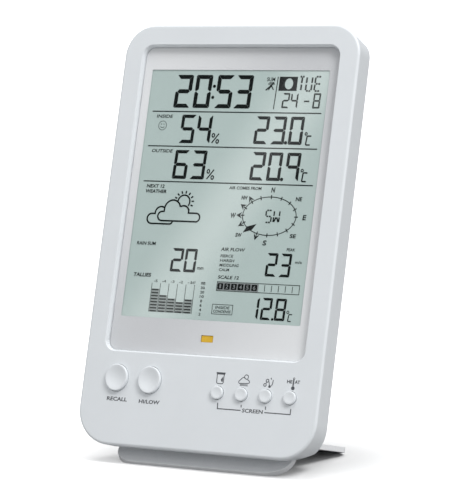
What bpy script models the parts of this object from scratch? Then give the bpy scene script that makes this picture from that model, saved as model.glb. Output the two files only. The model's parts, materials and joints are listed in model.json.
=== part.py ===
"""Desktop weather station console: a display unit with keys, on a clip-on table stand.

Lengths are in millimetres and become metres in the helpers. The console is modelled in its
own axes: x across, y from the front face into the body, z up the face. An empty then leans
those axes back. The stand is modelled in upright axes, with the same origin, at the middle of
the console's bottom front edge.
"""

import math

import bmesh
import bpy
from mathutils import Matrix, Vector

MM = 0.001

# Driving dimensions of the body.
CASE_WIDTH = 117.7
CASE_HEIGHT = 192.2
CASE_DEPTH = 21.3
CORNER_RADIUS = 14.0
BOTTOM_ROUNDING = 2.5
FRONT_EDGE_RADIUS = 1.2
FLAT_BOTTOM_DEPTH = 6.8
SIDE_DRAFT = math.tan(math.radians(12.3))
TOP_DRAFT = math.tan(math.radians(3.0))
BOTTOM_DRAFT = math.tan(math.radians(14.2))
WALL = 2.05
FRONT_WALL = 1.8
COVER_THICKNESS = 1.8
GAP = 0.3

# How the console stands: lean of its face, height of its bottom edge, and where that edge is.
LEAN = math.radians(15.1)
EDGE_HEIGHT = 8.75
EDGE_Y = -36.79

# Display: lens in its recess, glass behind it, and the holder that carries both.
RECESS_WIDTH = 99.2
RECESS_BOTTOM = 42.0
RECESS_TOP = 183.0
RECESS_RADIUS = 5.0
RECESS_DEPTH = 1.6
RECESS_TAPER = 0.6
RECESS_EDGE = 0.15
LENS_GAP = 0.15
SEAT_FRONT = 3.05
SEAT_BACK = 4.3
LENS_THICKNESS = 1.2
GLASS_WIDTH = 93.0
GLASS_BOTTOM = 56.6
GLASS_TOP = 174.2
HOLDER_BACK = 8.0
BOARD_FRONT = 8.3
BOARD_BACK = 9.5

# Front keys: name, x, z. The large ones are slightly narrower than high.
LARGE_KEYS = (("memory_key", -41.0, 30.0), ("high_low_key", -24.2, 29.9))
LARGE_KEY_RADIUS = 6.05
LARGE_KEY_SQUEEZE = 0.92
LARGE_KEY_HEIGHT = 1.5
SMALL_KEYS = ("rain_key", "pressure_key", "wind_key", "index_key")
SMALL_KEY_X = 9.8
SMALL_KEY_PITCH = 11.75
SMALL_KEY_Z = 26.6
SMALL_KEY_RADIUS = 2.95
SMALL_KEY_HEIGHT = 1.2
KEY_CLEARANCE = 0.2
FLANGE_FRONT = 2.0
FLANGE_BACK = 2.6
DOME_TOP = 3.3
KEY_BOARD_FRONT = 3.75
KEY_BOARD_BACK = 4.75
KEY_BOARD_SCREWS = ((-52.0, 27.0), (52.4, 27.0))

# Keys on the back, in a row, and the smaller controls above them.
REAR_KEYS = ("clock_key", "alarm_key", "alert_key", "down_key", "up_key")
REAR_KEY_PITCH = 17.0
REAR_KEY_Z = 74.0
REAR_KEY_SIZE = (11.0, 5.6)
SCAN_KEY = (18.0, 92.0)
RESET_KEY = (34.0, 92.0)
UNIT_SWITCH = (-27.0, 92.0)
UNIT_SWITCH_TRAVEL = 2.5
SWITCH_TOP = 14.0
REAR_KEY_STEM = 14.7

# Light key on the top edge.
LIGHT_KEY_SIZE = (38.0, 7.0)
LIGHT_KEY_Y = 10.8
LIGHT_KEY_HEIGHT = 0.9

# Battery compartment: three AA cells side by side, each along x.
CELL_RADIUS = 7.0
CELL_LENGTH = 50.3
CELL_Y = 12.9
CELL_Z = (19.5, 33.8, 48.1)
TUB_HALF_WIDTH = 31.0
CAVITY_HALF_WIDTH = 28.4
DOOR_HALF_WIDTH = 29.7
DOOR_BOTTOM = 12.7
DOOR_TOP = 58.1
DOOR_INSIDE = 20.1

# Seat for the stand, cut into the bottom of the back.
NOTCH_HALF_WIDTH = 46.5
NOTCH_FRONT = 14.5
NOTCH_TOP = 10.8
CEILING = 1.4
HOOK_X = 38.0
HOOK_WIDTH = 9.0
HOOK_Y = (16.4, 18.4)
HOOK_TOP = 18.0

# Screws.
CASE_SCREWS = ((-47.6, 18.2), (47.6, 18.2), (-45.5, 179.0), (45.5, 179.0))
CASE_BOSS_BACK = 13.7
BOARD_SCREWS = ((-51.2, 66.0), (51.2, 66.0), (-51.2, 164.0), (51.2, 164.0))

# Stand.
STAND_HALF_WIDTH = 43.3
STAND_CORNER = 11.0
STAND_THICKNESS = 2.5

PARTS = "weather_station_console"
CUTTERS = "cutters"


# ---------------------------------------------------------------- scene and helpers


def clear_scene():
    for item in list(bpy.data.objects):
        bpy.data.objects.remove(item, do_unlink=True)
    for name in (PARTS, CUTTERS):
        collection = bpy.data.collections.new(name)
        bpy.context.scene.collection.children.link(collection)
    bpy.data.collections[CUTTERS].hide_render = True


def empty(name, location, lean):
    item = bpy.data.objects.new(name, None)
    item.location = Vector(location) * MM
    item.rotation_euler = (-lean, 0.0, 0.0)
    bpy.data.collections[PARTS].objects.link(item)
    return item


def material(name, colour, roughness, metallic=0.0, transmission=0.0):
    item = bpy.data.materials.new(name)
    item.use_nodes = True
    shader = item.node_tree.nodes["Principled BSDF"]
    shader.inputs["Base Color"].default_value = (*colour, 1.0)
    shader.inputs["Roughness"].default_value = roughness
    shader.inputs["Metallic"].default_value = metallic
    shader.inputs["Transmission Weight"].default_value = transmission
    return item


def add_object(name, mesh, parent, finish):
    item = bpy.data.objects.new(name, mesh)
    item.parent = parent
    if finish is None:
        item.hide_render = True
        item.display_type = "WIRE"
        bpy.data.collections[CUTTERS].objects.link(item)
    else:
        mesh.materials.append(finish)
        bpy.data.collections[PARTS].objects.link(item)
    return item


def from_bmesh(name, bm, parent, finish=None, origin=(0.0, 0.0, 0.0)):
    """Turns a bmesh in millimetres into an object in metres, with its origin at the given point."""
    bmesh.ops.recalc_face_normals(bm, faces=bm.faces)
    bmesh.ops.translate(bm, verts=bm.verts, vec=-Vector(origin))
    bmesh.ops.scale(bm, verts=bm.verts, vec=(MM, MM, MM))
    mesh = bpy.data.meshes.new(name)
    bm.to_mesh(mesh)
    bm.free()
    mesh.shade_smooth()
    mesh.set_sharp_from_angle(angle=math.radians(35))
    item = add_object(name, mesh, parent, finish)
    item.location = Vector(origin) * MM
    return item


def add_block(bm, low, high, corner=0.0, steps=4, along="y", edge=0.0):
    """Adds a box, with its four edges along one axis rounded, and then its other edges."""
    low = Vector(low)
    high = Vector(high)
    made = bmesh.ops.create_cube(bm, size=1.0)["verts"]
    bmesh.ops.scale(bm, verts=made, vec=high - low)
    bmesh.ops.translate(bm, verts=made, vec=(high + low) / 2)
    return round_block(bm, made, corner, steps, along, edge)


def round_block(bm, made, corner, steps, along, edge):
    axis = "xyz".index(along)
    if corner:
        chosen = set()
        for item in {e for v in made for e in v.link_edges}:
            run = item.verts[1].co - item.verts[0].co
            if abs(run[axis]) > 0.5 * run.length:
                chosen.add(item)
        rounded = bmesh.ops.bevel(
            bm, geom=list(chosen), offset=corner, offset_type="OFFSET",
            segments=steps, profile=0.5, affect="EDGES",
        )
        made = list({v for f in rounded["faces"] for v in f.verts})
    if edge:
        ends = {f for v in made for f in v.link_faces if abs(f.normal[axis]) > 0.9}
        rims = {e for f in ends for e in f.edges}
        bmesh.ops.bevel(
            bm, geom=list(rims), offset=edge, offset_type="OFFSET",
            segments=1, profile=0.5, affect="EDGES",
        )
    return made


def add_cylinder(bm, centre, radius, low, high, along="y", steps=20, end_radius=None, squeeze=1.0):
    """Adds a cylinder, or a cone towards the high end. The centre gives the two other coordinates."""
    turn = {
        "x": Matrix.Rotation(math.pi / 2, 3, "Y"),
        "y": Matrix.Rotation(-math.pi / 2, 3, "X"),
        "z": Matrix.Identity(3),
    }[along]
    made = bmesh.ops.create_cone(
        bm, cap_ends=True, segments=steps, radius1=radius,
        radius2=radius if end_radius is None else end_radius, depth=high - low,
    )["verts"]
    bmesh.ops.rotate(bm, verts=made, cent=(0, 0, 0), matrix=turn)
    bmesh.ops.scale(bm, verts=made, vec=(squeeze, 1.0, 1.0))
    place = list(centre)
    place.insert("xyz".index(along), (low + high) / 2)
    bmesh.ops.translate(bm, verts=made, vec=place)


def add_outline(bm, points, low, high):
    """Adds a flat outline in the y-z plane, extruded along x."""
    corners = [bm.verts.new((low, y, z)) for y, z in points]
    face = bm.faces.new(corners)
    grown = bmesh.ops.extrude_face_region(bm, geom=[face])["geom"]
    moved = [v for v in grown if isinstance(v, bmesh.types.BMVert)]
    bmesh.ops.translate(bm, verts=moved, vec=(high - low, 0, 0))


def combine(target, cutter, operation="DIFFERENCE"):
    modifier = target.modifiers.new(cutter.name, "BOOLEAN")
    modifier.operation = operation
    modifier.object = cutter
    modifier.solver = "EXACT"


def turned(name, profile, steps, parent, finish, origin, squeeze=1.0):
    """A turned piece. The profile is radius and height, from the front centre to the back centre."""
    bm = bmesh.new()
    points = [bm.verts.new((radius, 0.0, height)) for radius, height in profile]
    links = [bm.edges.new(pair) for pair in zip(points, points[1:])]
    bmesh.ops.spin(
        bm, geom=[*points, *links], cent=(0, 0, 0), axis=(0, 0, 1), angle=2 * math.pi, steps=steps,
    )
    bmesh.ops.remove_doubles(bm, verts=bm.verts, dist=0.001)
    bmesh.ops.scale(bm, verts=bm.verts, vec=(squeeze, 1.0, 1.0))
    item = from_bmesh(name, bm, parent, finish)
    item.location = Vector(origin) * MM
    item.rotation_euler = (math.pi / 2, 0.0, 0.0)
    return item


def tube(name, points, radius, parent, finish):
    """A round wire along a list of points in millimetres."""
    curve = bpy.data.curves.new(name, "CURVE")
    curve.dimensions = "3D"
    curve.bevel_depth = radius * MM
    curve.bevel_resolution = 1
    curve.use_fill_caps = True
    spline = curve.splines.new("POLY")
    spline.points.add(len(points) - 1)
    for point, place in zip(spline.points, points):
        point.co = (*(Vector(place) * MM), 1.0)
    item = bpy.data.objects.new(name, curve)
    item.parent = parent
    if finish is not None:
        curve.materials.append(finish)
        bpy.data.collections[PARTS].objects.link(item)
    return item


def tube_as_mesh(name, points, radius, parent):
    """The same wire as a closed mesh, hidden, ready to be joined to another piece."""
    item = tube(name + "_path", points, radius, parent, None)
    bpy.data.collections[CUTTERS].objects.link(item)
    bpy.context.view_layer.update()
    graph = bpy.context.evaluated_depsgraph_get()
    mesh = bpy.data.meshes.new_from_object(item.evaluated_get(graph))
    bm = bmesh.new()
    bm.from_mesh(mesh)
    bmesh.ops.remove_doubles(bm, verts=bm.verts, dist=0.000001)
    bmesh.ops.recalc_face_normals(bm, faces=bm.faces)
    bm.to_mesh(mesh)
    bm.free()
    bpy.data.objects.remove(item, do_unlink=True)
    return add_object(name, mesh, parent, None)


def smooth_path(points, steps):
    """Points on a Catmull-Rom curve through the given ones."""
    nodes = [Vector(p) for p in points]
    nodes = [2 * nodes[0] - nodes[1], *nodes, 2 * nodes[-1] - nodes[-2]]
    path = []
    for a, b, c, d in zip(nodes, nodes[1:], nodes[2:], nodes[3:]):
        for step in range(steps):
            t = step / steps
            path.append(
                b + (c - a) * (t / 2)
                + (2 * a - 5 * b + 4 * c - d) * (t * t / 2)
                + (3 * b - a - 3 * c + d) * (t ** 3 / 2)
            )
    path.append(nodes[-2])
    return path


def add_drafted(bm, offset, front, back, corner, steps=6, flat_bottom=False):
    """Adds a block that follows the body's drafted sides, the offset inside them."""
    half = CASE_WIDTH / 2 - offset
    top = CASE_HEIGHT - offset
    made = add_block(bm, (-half, front, offset), (half, back, top), corner=corner, steps=steps)
    for v in made:
        x, y, z = v.co
        side = math.copysign(1.0, x)
        drawn_in = half - y * SIDE_DRAFT
        if z > CASE_HEIGHT / 2:
            radius = corner - y * SIDE_DRAFT
            drop = z - (top - corner)
            centre_z = top - y * TOP_DRAFT - radius
        else:
            radius = corner + BOTTOM_ROUNDING
            rise = 0.0 if flat_bottom else y * BOTTOM_DRAFT
            drop = z - (offset + corner)
            centre_z = offset + rise + radius
        scale = radius / corner
        across = x - side * (half - corner)
        v.co = (side * (drawn_in - radius) + across * scale, y, centre_z + drop * scale)
    return made


def add_tapered(bm, low, high, pinch, corner):
    """Adds a block along y whose back end is drawn in on all four sides."""
    made = add_block(bm, low, high, corner=corner, steps=6)
    middle = (Vector(low) + Vector(high)) / 2
    for v in made:
        if v.co.y > middle.y:
            v.co.x -= math.copysign(pinch, v.co.x - middle.x)
            v.co.z -= math.copysign(pinch, v.co.z - middle.z)


# ---------------------------------------------------------------- case and cover


def front_case(parent, finish):
    bm = bmesh.new()
    add_drafted(bm, 0.0, 0.0, CASE_DEPTH, CORNER_RADIUS, steps=10, flat_bottom=True)
    front = [f for f in bm.faces if f.normal.y < -0.9]
    rim = list({e for f in front for e in f.edges})
    bmesh.ops.bevel(
        bm, geom=rim, offset=FRONT_EDGE_RADIUS, offset_type="OFFSET",
        segments=4, profile=0.5, affect="EDGES",
    )
    case = from_bmesh("front_case", bm, parent, finish)

    bm = bmesh.new()
    back = CASE_DEPTH + 2.0
    slope = CASE_DEPTH * BOTTOM_DRAFT / (CASE_DEPTH - FLAT_BOTTOM_DEPTH)
    rise = (back - FLAT_BOTTOM_DEPTH) * slope
    wedge = ((FLAT_BOTTOM_DEPTH, 0.0), (back, rise), (back, -3.0), (FLAT_BOTTOM_DEPTH, -3.0))
    add_outline(bm, wedge, -70.0, 70.0)
    combine(case, from_bmesh("bottom_rise", bm, parent))

    bm = bmesh.new()
    add_drafted(bm, WALL, FRONT_WALL, CASE_DEPTH + 2.0, CORNER_RADIUS - WALL, steps=10)
    combine(case, from_bmesh("case_hollow", bm, parent))

    bm = bmesh.new()
    half = RECESS_WIDTH / 2 + 1.5
    add_block(
        bm, (-half, 1.0, RECESS_BOTTOM - 1.5), (half, SEAT_BACK, RECESS_TOP + 1.5),
        corner=RECESS_RADIUS + 1.5, steps=3,
    )
    combine(case, from_bmesh("screen_seat", bm, parent), "UNION")

    bm = bmesh.new()
    for x, z in CASE_SCREWS:
        add_cylinder(bm, (x, z), 3.0, 1.0, CASE_BOSS_BACK, steps=14)
    for x, z in BOARD_SCREWS:
        add_cylinder(bm, (x, z), 2.4, 1.0, 6.8, steps=12)
    for x, z in KEY_BOARD_SCREWS:
        add_cylinder(bm, (x, z), 2.0, 1.0, KEY_BOARD_FRONT - GAP, steps=12)
    combine(case, from_bmesh("case_bosses", bm, parent), "UNION")

    bm = bmesh.new()
    half = RECESS_WIDTH / 2
    slope = RECESS_TAPER / RECESS_DEPTH
    add_tapered(
        bm, (-half - slope, -1.0, RECESS_BOTTOM - slope),
        (half + slope, RECESS_DEPTH, RECESS_TOP + slope), RECESS_TAPER + slope, RECESS_RADIUS,
    )
    combine(case, from_bmesh("lens_recess", bm, parent))

    bm = bmesh.new()
    flare = 2 * RECESS_EDGE
    add_tapered(
        bm, (-half - flare, -RECESS_EDGE, RECESS_BOTTOM - flare),
        (half + flare, flare, RECESS_TOP + flare), 3 * RECESS_EDGE, RECESS_RADIUS + RECESS_EDGE,
    )
    combine(case, from_bmesh("recess_edge", bm, parent))

    bm = bmesh.new()
    pinch = RECESS_TAPER + 0.05
    add_block(
        bm, (pinch - half, 1.0, RECESS_BOTTOM + pinch), (half - pinch, SEAT_FRONT, RECESS_TOP - pinch),
        corner=RECESS_RADIUS - 0.5, steps=6,
    )
    combine(case, from_bmesh("lens_pocket", bm, parent))

    bm = bmesh.new()
    half = GLASS_WIDTH / 2 + GAP
    add_block(bm, (-half, 2.0, GLASS_BOTTOM - GAP), (half, 6.0, GLASS_TOP + GAP))
    add_block(bm, (-3.3, 2.0, 48.3), (3.3, 6.0, 52.1))
    for _, x, z in LARGE_KEYS:
        add_cylinder(
            bm, (x, z), LARGE_KEY_RADIUS + KEY_CLEARANCE, -1.0, 3.2, steps=36,
            squeeze=LARGE_KEY_SQUEEZE,
        )
    for number in range(len(SMALL_KEYS)):
        x = SMALL_KEY_X + number * SMALL_KEY_PITCH
        add_cylinder(bm, (x, SMALL_KEY_Z), SMALL_KEY_RADIUS + KEY_CLEARANCE, -1.0, 3.2, steps=24)
    for x, z in CASE_SCREWS:
        add_cylinder(bm, (x, z), 1.35, 6.0, CASE_BOSS_BACK + 1.0, steps=10)
    for x, z in BOARD_SCREWS:
        add_cylinder(bm, (x, z), 1.1, 4.6, 8.0, steps=10)
    for x, z in KEY_BOARD_SCREWS:
        add_cylinder(bm, (x, z), 0.9, 1.3, KEY_BOARD_FRONT, steps=8)
    half_x = LIGHT_KEY_SIZE[0] / 2 + KEY_CLEARANCE
    half_y = LIGHT_KEY_SIZE[1] / 2 + KEY_CLEARANCE
    add_block(
        bm, (-half_x, LIGHT_KEY_Y - half_y, CASE_HEIGHT - 8.5),
        (half_x, LIGHT_KEY_Y + half_y, CASE_HEIGHT + 2.0), corner=2.5, steps=3, along="z",
    )
    combine(case, from_bmesh("case_openings", bm, parent))

    bm = bmesh.new()
    add_block(
        bm, (-NOTCH_HALF_WIDTH, NOTCH_FRONT, -2.0),
        (NOTCH_HALF_WIDTH, CASE_DEPTH + 2.0, NOTCH_TOP + 0.1),
    )
    combine(case, from_bmesh("case_notch", bm, parent))
    return case


def tub_outline(wall):
    """Section of the battery compartment: its outer wall, or its inside when wall is given."""
    if wall:
        return (
            (5.7, 12.2), (5.7, 50.6), (9.4, 55.4), (23.0, 55.4), (23.0, 12.2),
        )
    return (
        (5.0, NOTCH_TOP), (5.0, 51.0), (9.0, 56.2), (16.0, 56.2), (18.5, 59.8),
        (20.5, 59.8), (20.5, NOTCH_TOP),
    )


def rear_cover(parent, finish):
    plate_front = CASE_DEPTH - COVER_THICKNESS
    outer = NOTCH_HALF_WIDTH + 1.6
    step_front = NOTCH_FRONT - 1.5
    ceiling_top = NOTCH_TOP + CEILING
    step = (
        (step_front, 3.0), (step_front, ceiling_top), (20.0, ceiling_top),
        (20.0, NOTCH_TOP), (NOTCH_FRONT, NOTCH_TOP), (NOTCH_FRONT, 3.0),
    )
    bm = bmesh.new()
    add_outline(bm, step, -outer, outer)
    cover = from_bmesh("rear_cover", bm, parent, finish)

    bm = bmesh.new()
    for side in (-1, 1):
        low, high = sorted((side * (NOTCH_HALF_WIDTH + 0.4), side * outer))
        add_block(bm, (low, step_front + 0.5, 3.5), (high, 20.4, ceiling_top - 0.4))
    combine(cover, from_bmesh("seat_sides", bm, parent), "UNION")

    bm = bmesh.new()
    clear = WALL + GAP + 0.06
    add_drafted(bm, clear, 4.0, CASE_DEPTH - 0.2, CORNER_RADIUS - clear, steps=7)
    combine(cover, from_bmesh("seat_envelope", bm, parent), "INTERSECT")

    bm = bmesh.new()
    add_drafted(bm, WALL + GAP, plate_front, CASE_DEPTH, CORNER_RADIUS - WALL - GAP, steps=10)
    combine(cover, from_bmesh("cover_plate", bm, parent), "UNION")

    bm = bmesh.new()
    add_block(
        bm, (-NOTCH_HALF_WIDTH - 0.3, plate_front - 2.0, 0.0),
        (NOTCH_HALF_WIDTH + 0.3, CASE_DEPTH + 2.0, NOTCH_TOP),
    )
    combine(cover, from_bmesh("cover_notch", bm, parent))

    bm = bmesh.new()
    add_outline(bm, tub_outline(False), -TUB_HALF_WIDTH, TUB_HALF_WIDTH)
    combine(cover, from_bmesh("battery_tub", bm, parent), "UNION")

    bm = bmesh.new()
    for x, z in CASE_SCREWS:
        add_cylinder(bm, (x, z), 3.0, CASE_BOSS_BACK + GAP, 20.5, steps=14)
    combine(cover, from_bmesh("screw_tubes", bm, parent), "UNION")

    bm = bmesh.new()
    add_outline(bm, tub_outline(True), -CAVITY_HALF_WIDTH, CAVITY_HALF_WIDTH)
    for x, z in CASE_SCREWS:
        add_cylinder(bm, (x, z), 1.5, 12.0, 16.0, steps=10)
    for side in (-1, 1):
        x = side * HOOK_X
        half = HOOK_WIDTH / 2 + GAP
        add_block(
            bm, (x - half, HOOK_Y[0] - GAP, NOTCH_TOP - 1.0),
            (x + half, HOOK_Y[1] + GAP, ceiling_top + 1.0),
        )
    for number in range(len(REAR_KEYS)):
        x = (number - 2) * REAR_KEY_PITCH
        half_x = REAR_KEY_SIZE[0] / 2 + KEY_CLEARANCE
        half_z = REAR_KEY_SIZE[1] / 2 + KEY_CLEARANCE
        add_block(
            bm, (x - half_x, 18.0, REAR_KEY_Z - half_z), (x + half_x, 23.0, REAR_KEY_Z + half_z),
            corner=2.0, steps=3,
        )
    add_cylinder(bm, SCAN_KEY, 2.5 + KEY_CLEARANCE, 18.0, 23.0, steps=16)
    add_cylinder(bm, RESET_KEY, 1.5 + KEY_CLEARANCE, 18.0, 23.0, steps=12)
    x, z = UNIT_SWITCH
    add_block(bm, (x - 3.2, 18.0, z - 1.6), (x + 3.2, 23.0, z + 1.6))
    for number in range(7):
        z = 112.0 + 4.0 * number
        add_block(bm, (-14.0, 18.0, z), (14.0, 23.0, z + 1.6), corner=0.75, steps=2)
    combine(cover, from_bmesh("cover_openings", bm, parent))

    bm = bmesh.new()
    half = DOOR_HALF_WIDTH + GAP
    add_block(bm, (-half, DOOR_INSIDE - 0.1, NOTCH_TOP - 1.0), (half, 23.0, DOOR_TOP + GAP))
    for x, z in CASE_SCREWS:
        add_cylinder(bm, (x, z), 2.7, 15.5, 23.0, steps=14)
    combine(cover, from_bmesh("door_seat", bm, parent))

    bm = bmesh.new()
    add_cylinder(bm, (0.0, 160.0), 4.25, 18.0, 23.0, steps=20)
    combine(cover, from_bmesh("hanging_hole", bm, parent))
    bm = bmesh.new()
    add_block(bm, (-2.1, 18.0, 160.0), (2.1, 23.0, 168.0), corner=2.05, steps=4)
    combine(cover, from_bmesh("hanging_slot", bm, parent))
    return cover


def battery_door(parent, finish):
    bm = bmesh.new()
    add_block(
        bm, (-DOOR_HALF_WIDTH, DOOR_INSIDE, DOOR_BOTTOM), (DOOR_HALF_WIDTH, CASE_DEPTH, DOOR_TOP),
        corner=1.2, steps=2,
    )
    door = from_bmesh("battery_door", bm, parent, finish, origin=(0.0, DOOR_INSIDE, DOOR_BOTTOM))

    bm = bmesh.new()
    add_block(bm, (-6.0, CASE_DEPTH - 0.6, 51.5), (6.0, CASE_DEPTH + 1.0, 56.0), corner=2.0, steps=3)
    combine(door, from_bmesh("door_grip", bm, parent))

    bm = bmesh.new()
    add_block(bm, (-5.0, 19.0, 53.6), (5.0, DOOR_INSIDE + 0.4, 54.8))
    for side in (-1, 1):
        add_block(bm, (side * 18.0 - 4.0, 19.9 - 0.6, 13.1), (side * 18.0 + 4.0, DOOR_INSIDE + 0.4, 14.1))
    combine(door, from_bmesh("door_tabs", bm, parent), "UNION")
    return door


# ---------------------------------------------------------------- display


def display(parent, clear, tape, glass, diffuser, white, rubber, amber, board):
    bm = bmesh.new()
    half = RECESS_WIDTH / 2 - RECESS_TAPER - LENS_GAP
    low = RECESS_BOTTOM + RECESS_TAPER + LENS_GAP
    high = RECESS_TOP - RECESS_TAPER - LENS_GAP
    back = RECESS_DEPTH + LENS_THICKNESS
    add_block(bm, (-half, RECESS_DEPTH, low), (half, back, high), corner=4.4, steps=6)
    from_bmesh("display_lens", bm, parent, clear)

    bm = bmesh.new()
    add_block(bm, (-half + 0.4, back + 0.03, low + 0.4), (half - 0.4, SEAT_FRONT - 0.03, high - 0.4),
              corner=3.8, steps=4)
    sheet = from_bmesh("lens_tape", bm, parent, tape)
    bm = bmesh.new()
    inner = GLASS_WIDTH / 2 + 0.1
    add_block(bm, (-inner, 2.0, 46.5), (inner, 4.0, GLASS_TOP + 1.0))
    combine(sheet, from_bmesh("tape_window", bm, parent))

    half = GLASS_WIDTH / 2
    bm = bmesh.new()
    add_block(bm, (-half, 3.1, GLASS_BOTTOM), (half, 5.1, GLASS_TOP))
    from_bmesh("lcd_glass", bm, parent, glass)

    bm = bmesh.new()
    add_block(bm, (-half, 5.2, GLASS_BOTTOM + 2.2), (half, 6.9, GLASS_TOP - 3.0), edge=0.2)
    from_bmesh("light_guide", bm, parent, diffuser)

    bm = bmesh.new()
    add_block(bm, (-38.0, 5.3, GLASS_BOTTOM + 0.2), (38.0, 6.8, GLASS_BOTTOM + 1.9))
    strip = from_bmesh("backlight_strip", bm, parent, board)
    bm = bmesh.new()
    for number in range(6):
        x = -30.0 + 12.0 * number
        add_block(bm, (x - 1.5, 5.6, GLASS_BOTTOM + 1.5), (x + 1.5, 6.5, GLASS_BOTTOM + 2.1))
    combine(strip, from_bmesh("strip_lights", bm, parent), "UNION")

    bm = bmesh.new()
    add_block(bm, (-41.0, 5.2, GLASS_TOP - 2.4), (41.0, BOARD_FRONT - 0.1, GLASS_TOP - 0.6))
    from_bmesh("contact_strip", bm, parent, rubber)

    outer = half + 1.9
    bm = bmesh.new()
    add_block(bm, (-outer, SEAT_BACK + 0.2, GLASS_BOTTOM - 1.1), (outer, HOLDER_BACK, GLASS_TOP + 1.5))
    holder = from_bmesh("lcd_holder", bm, parent, white)
    bm = bmesh.new()
    for x, z in BOARD_SCREWS:
        side = math.copysign(1.0, x)
        low, high = sorted((side * (outer - 1.0), side * 54.0))
        add_block(bm, (low, 7.0, z - 3.5), (high, HOLDER_BACK, z + 3.5))
    combine(holder, from_bmesh("holder_ears", bm, parent), "UNION")
    bm = bmesh.new()
    add_block(bm, (-half - GAP, 3.0, GLASS_BOTTOM - GAP), (half + GAP, 7.0, GLASS_TOP + GAP))
    combine(holder, from_bmesh("holder_pocket", bm, parent))
    bm = bmesh.new()
    add_block(bm, (-41.3, 6.0, GLASS_TOP - 2.7), (41.3, 9.0, GLASS_TOP - 0.3))
    for x, z in BOARD_SCREWS:
        add_cylinder(bm, (x, z), 1.3, 6.0, 9.0, steps=10)
    combine(holder, from_bmesh("holder_slots", bm, parent))

    bm = bmesh.new()
    add_block(bm, (-3.0, 3.05, 48.6), (3.0, 3.65, 51.8), corner=0.4, steps=2)
    from_bmesh("alert_window", bm, parent, amber)
    bm = bmesh.new()
    add_block(bm, (-1.6, 3.75, 49.4), (1.6, 4.45, 51.0))
    led = from_bmesh("alert_led", bm, parent, white)
    bm = bmesh.new()
    add_block(bm, (-3.2, 4.4, 48.0), (3.2, 4.85, 52.4))
    combine(led, from_bmesh("led_flex", bm, parent), "UNION")


# ---------------------------------------------------------------- front keys


def key_profile(radius, height, dish):
    """Dished cap, straight wall through the case, and a flange behind it."""
    front = height
    flange = radius + 1.0
    floor = front - dish
    points = [(0.0, floor)]
    steps = 4
    for step in range(1, steps + 1):
        share = step / steps
        points.append((radius * 0.9 * share, floor + dish * share * share))
    points += [
        (radius * 0.97, front - 0.1), (radius, front - 0.4), (radius, -FLANGE_FRONT),
        (flange, -FLANGE_FRONT), (flange, -FLANGE_BACK), (0.0, -FLANGE_BACK),
    ]
    return points


def front_keys(parent, finish):
    for name, x, z in LARGE_KEYS:
        profile = key_profile(LARGE_KEY_RADIUS, LARGE_KEY_HEIGHT, 0.9)
        turned(name, profile, 36, parent, finish, (x, 0.0, z), LARGE_KEY_SQUEEZE)
    for number, name in enumerate(SMALL_KEYS):
        profile = key_profile(SMALL_KEY_RADIUS, SMALL_KEY_HEIGHT, 0.25)
        x = SMALL_KEY_X + number * SMALL_KEY_PITCH
        turned(name, profile, 24, parent, finish, (x, 0.0, SMALL_KEY_Z))


def key_electronics(parent, board, rubber, flex):
    bm = bmesh.new()
    add_block(bm, (-54.6, KEY_BOARD_FRONT, 21.5), (54.6, KEY_BOARD_BACK, 39.4), corner=2.0, steps=2)
    plate = from_bmesh("key_board", bm, parent, board)
    bm = bmesh.new()
    for x, z in KEY_BOARD_SCREWS:
        add_cylinder(bm, (x, z), 1.05, 3.0, 6.0, steps=8)
    combine(plate, from_bmesh("key_board_holes", bm, parent))

    bm = bmesh.new()
    add_block(bm, (-48.5, 3.5, 22.0), (50.2, 3.7, 38.6), corner=1.5, steps=2)
    sheet = from_bmesh("dome_sheet", bm, parent, rubber)
    bm = bmesh.new()
    for _, x, z in LARGE_KEYS:
        add_cylinder(bm, (x, z), 1.6, DOME_TOP, 3.6, steps=10, end_radius=2.6)
    for number in range(len(SMALL_KEYS)):
        x = SMALL_KEY_X + number * SMALL_KEY_PITCH
        add_cylinder(bm, (x, SMALL_KEY_Z), 1.4, DOME_TOP, 3.6, steps=10, end_radius=2.2)
    combine(sheet, from_bmesh("domes", bm, parent), "UNION")

    path = smooth_path(
        ((0, 5.0, 33.0), (0, 5.1, 40.0), (0, 8.0, 47.5), (0, 10.0, 55.0), (0, 9.85, 64.0)), 3,
    )
    bm = bmesh.new()
    rows = [
        [bm.verts.new((x, p.y, p.z)) for x in (-46.0, -34.0)]
        for p in path
    ]
    for lower, upper in zip(rows, rows[1:]):
        bm.faces.new((lower[0], lower[1], upper[1], upper[0]))
    ribbon = from_bmesh("board_ribbon", bm, parent, flex)
    shell = ribbon.modifiers.new("thickness", "SOLIDIFY")
    shell.thickness = 0.22 * MM
    shell.offset = 0.0


# ---------------------------------------------------------------- main board and its modules


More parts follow.
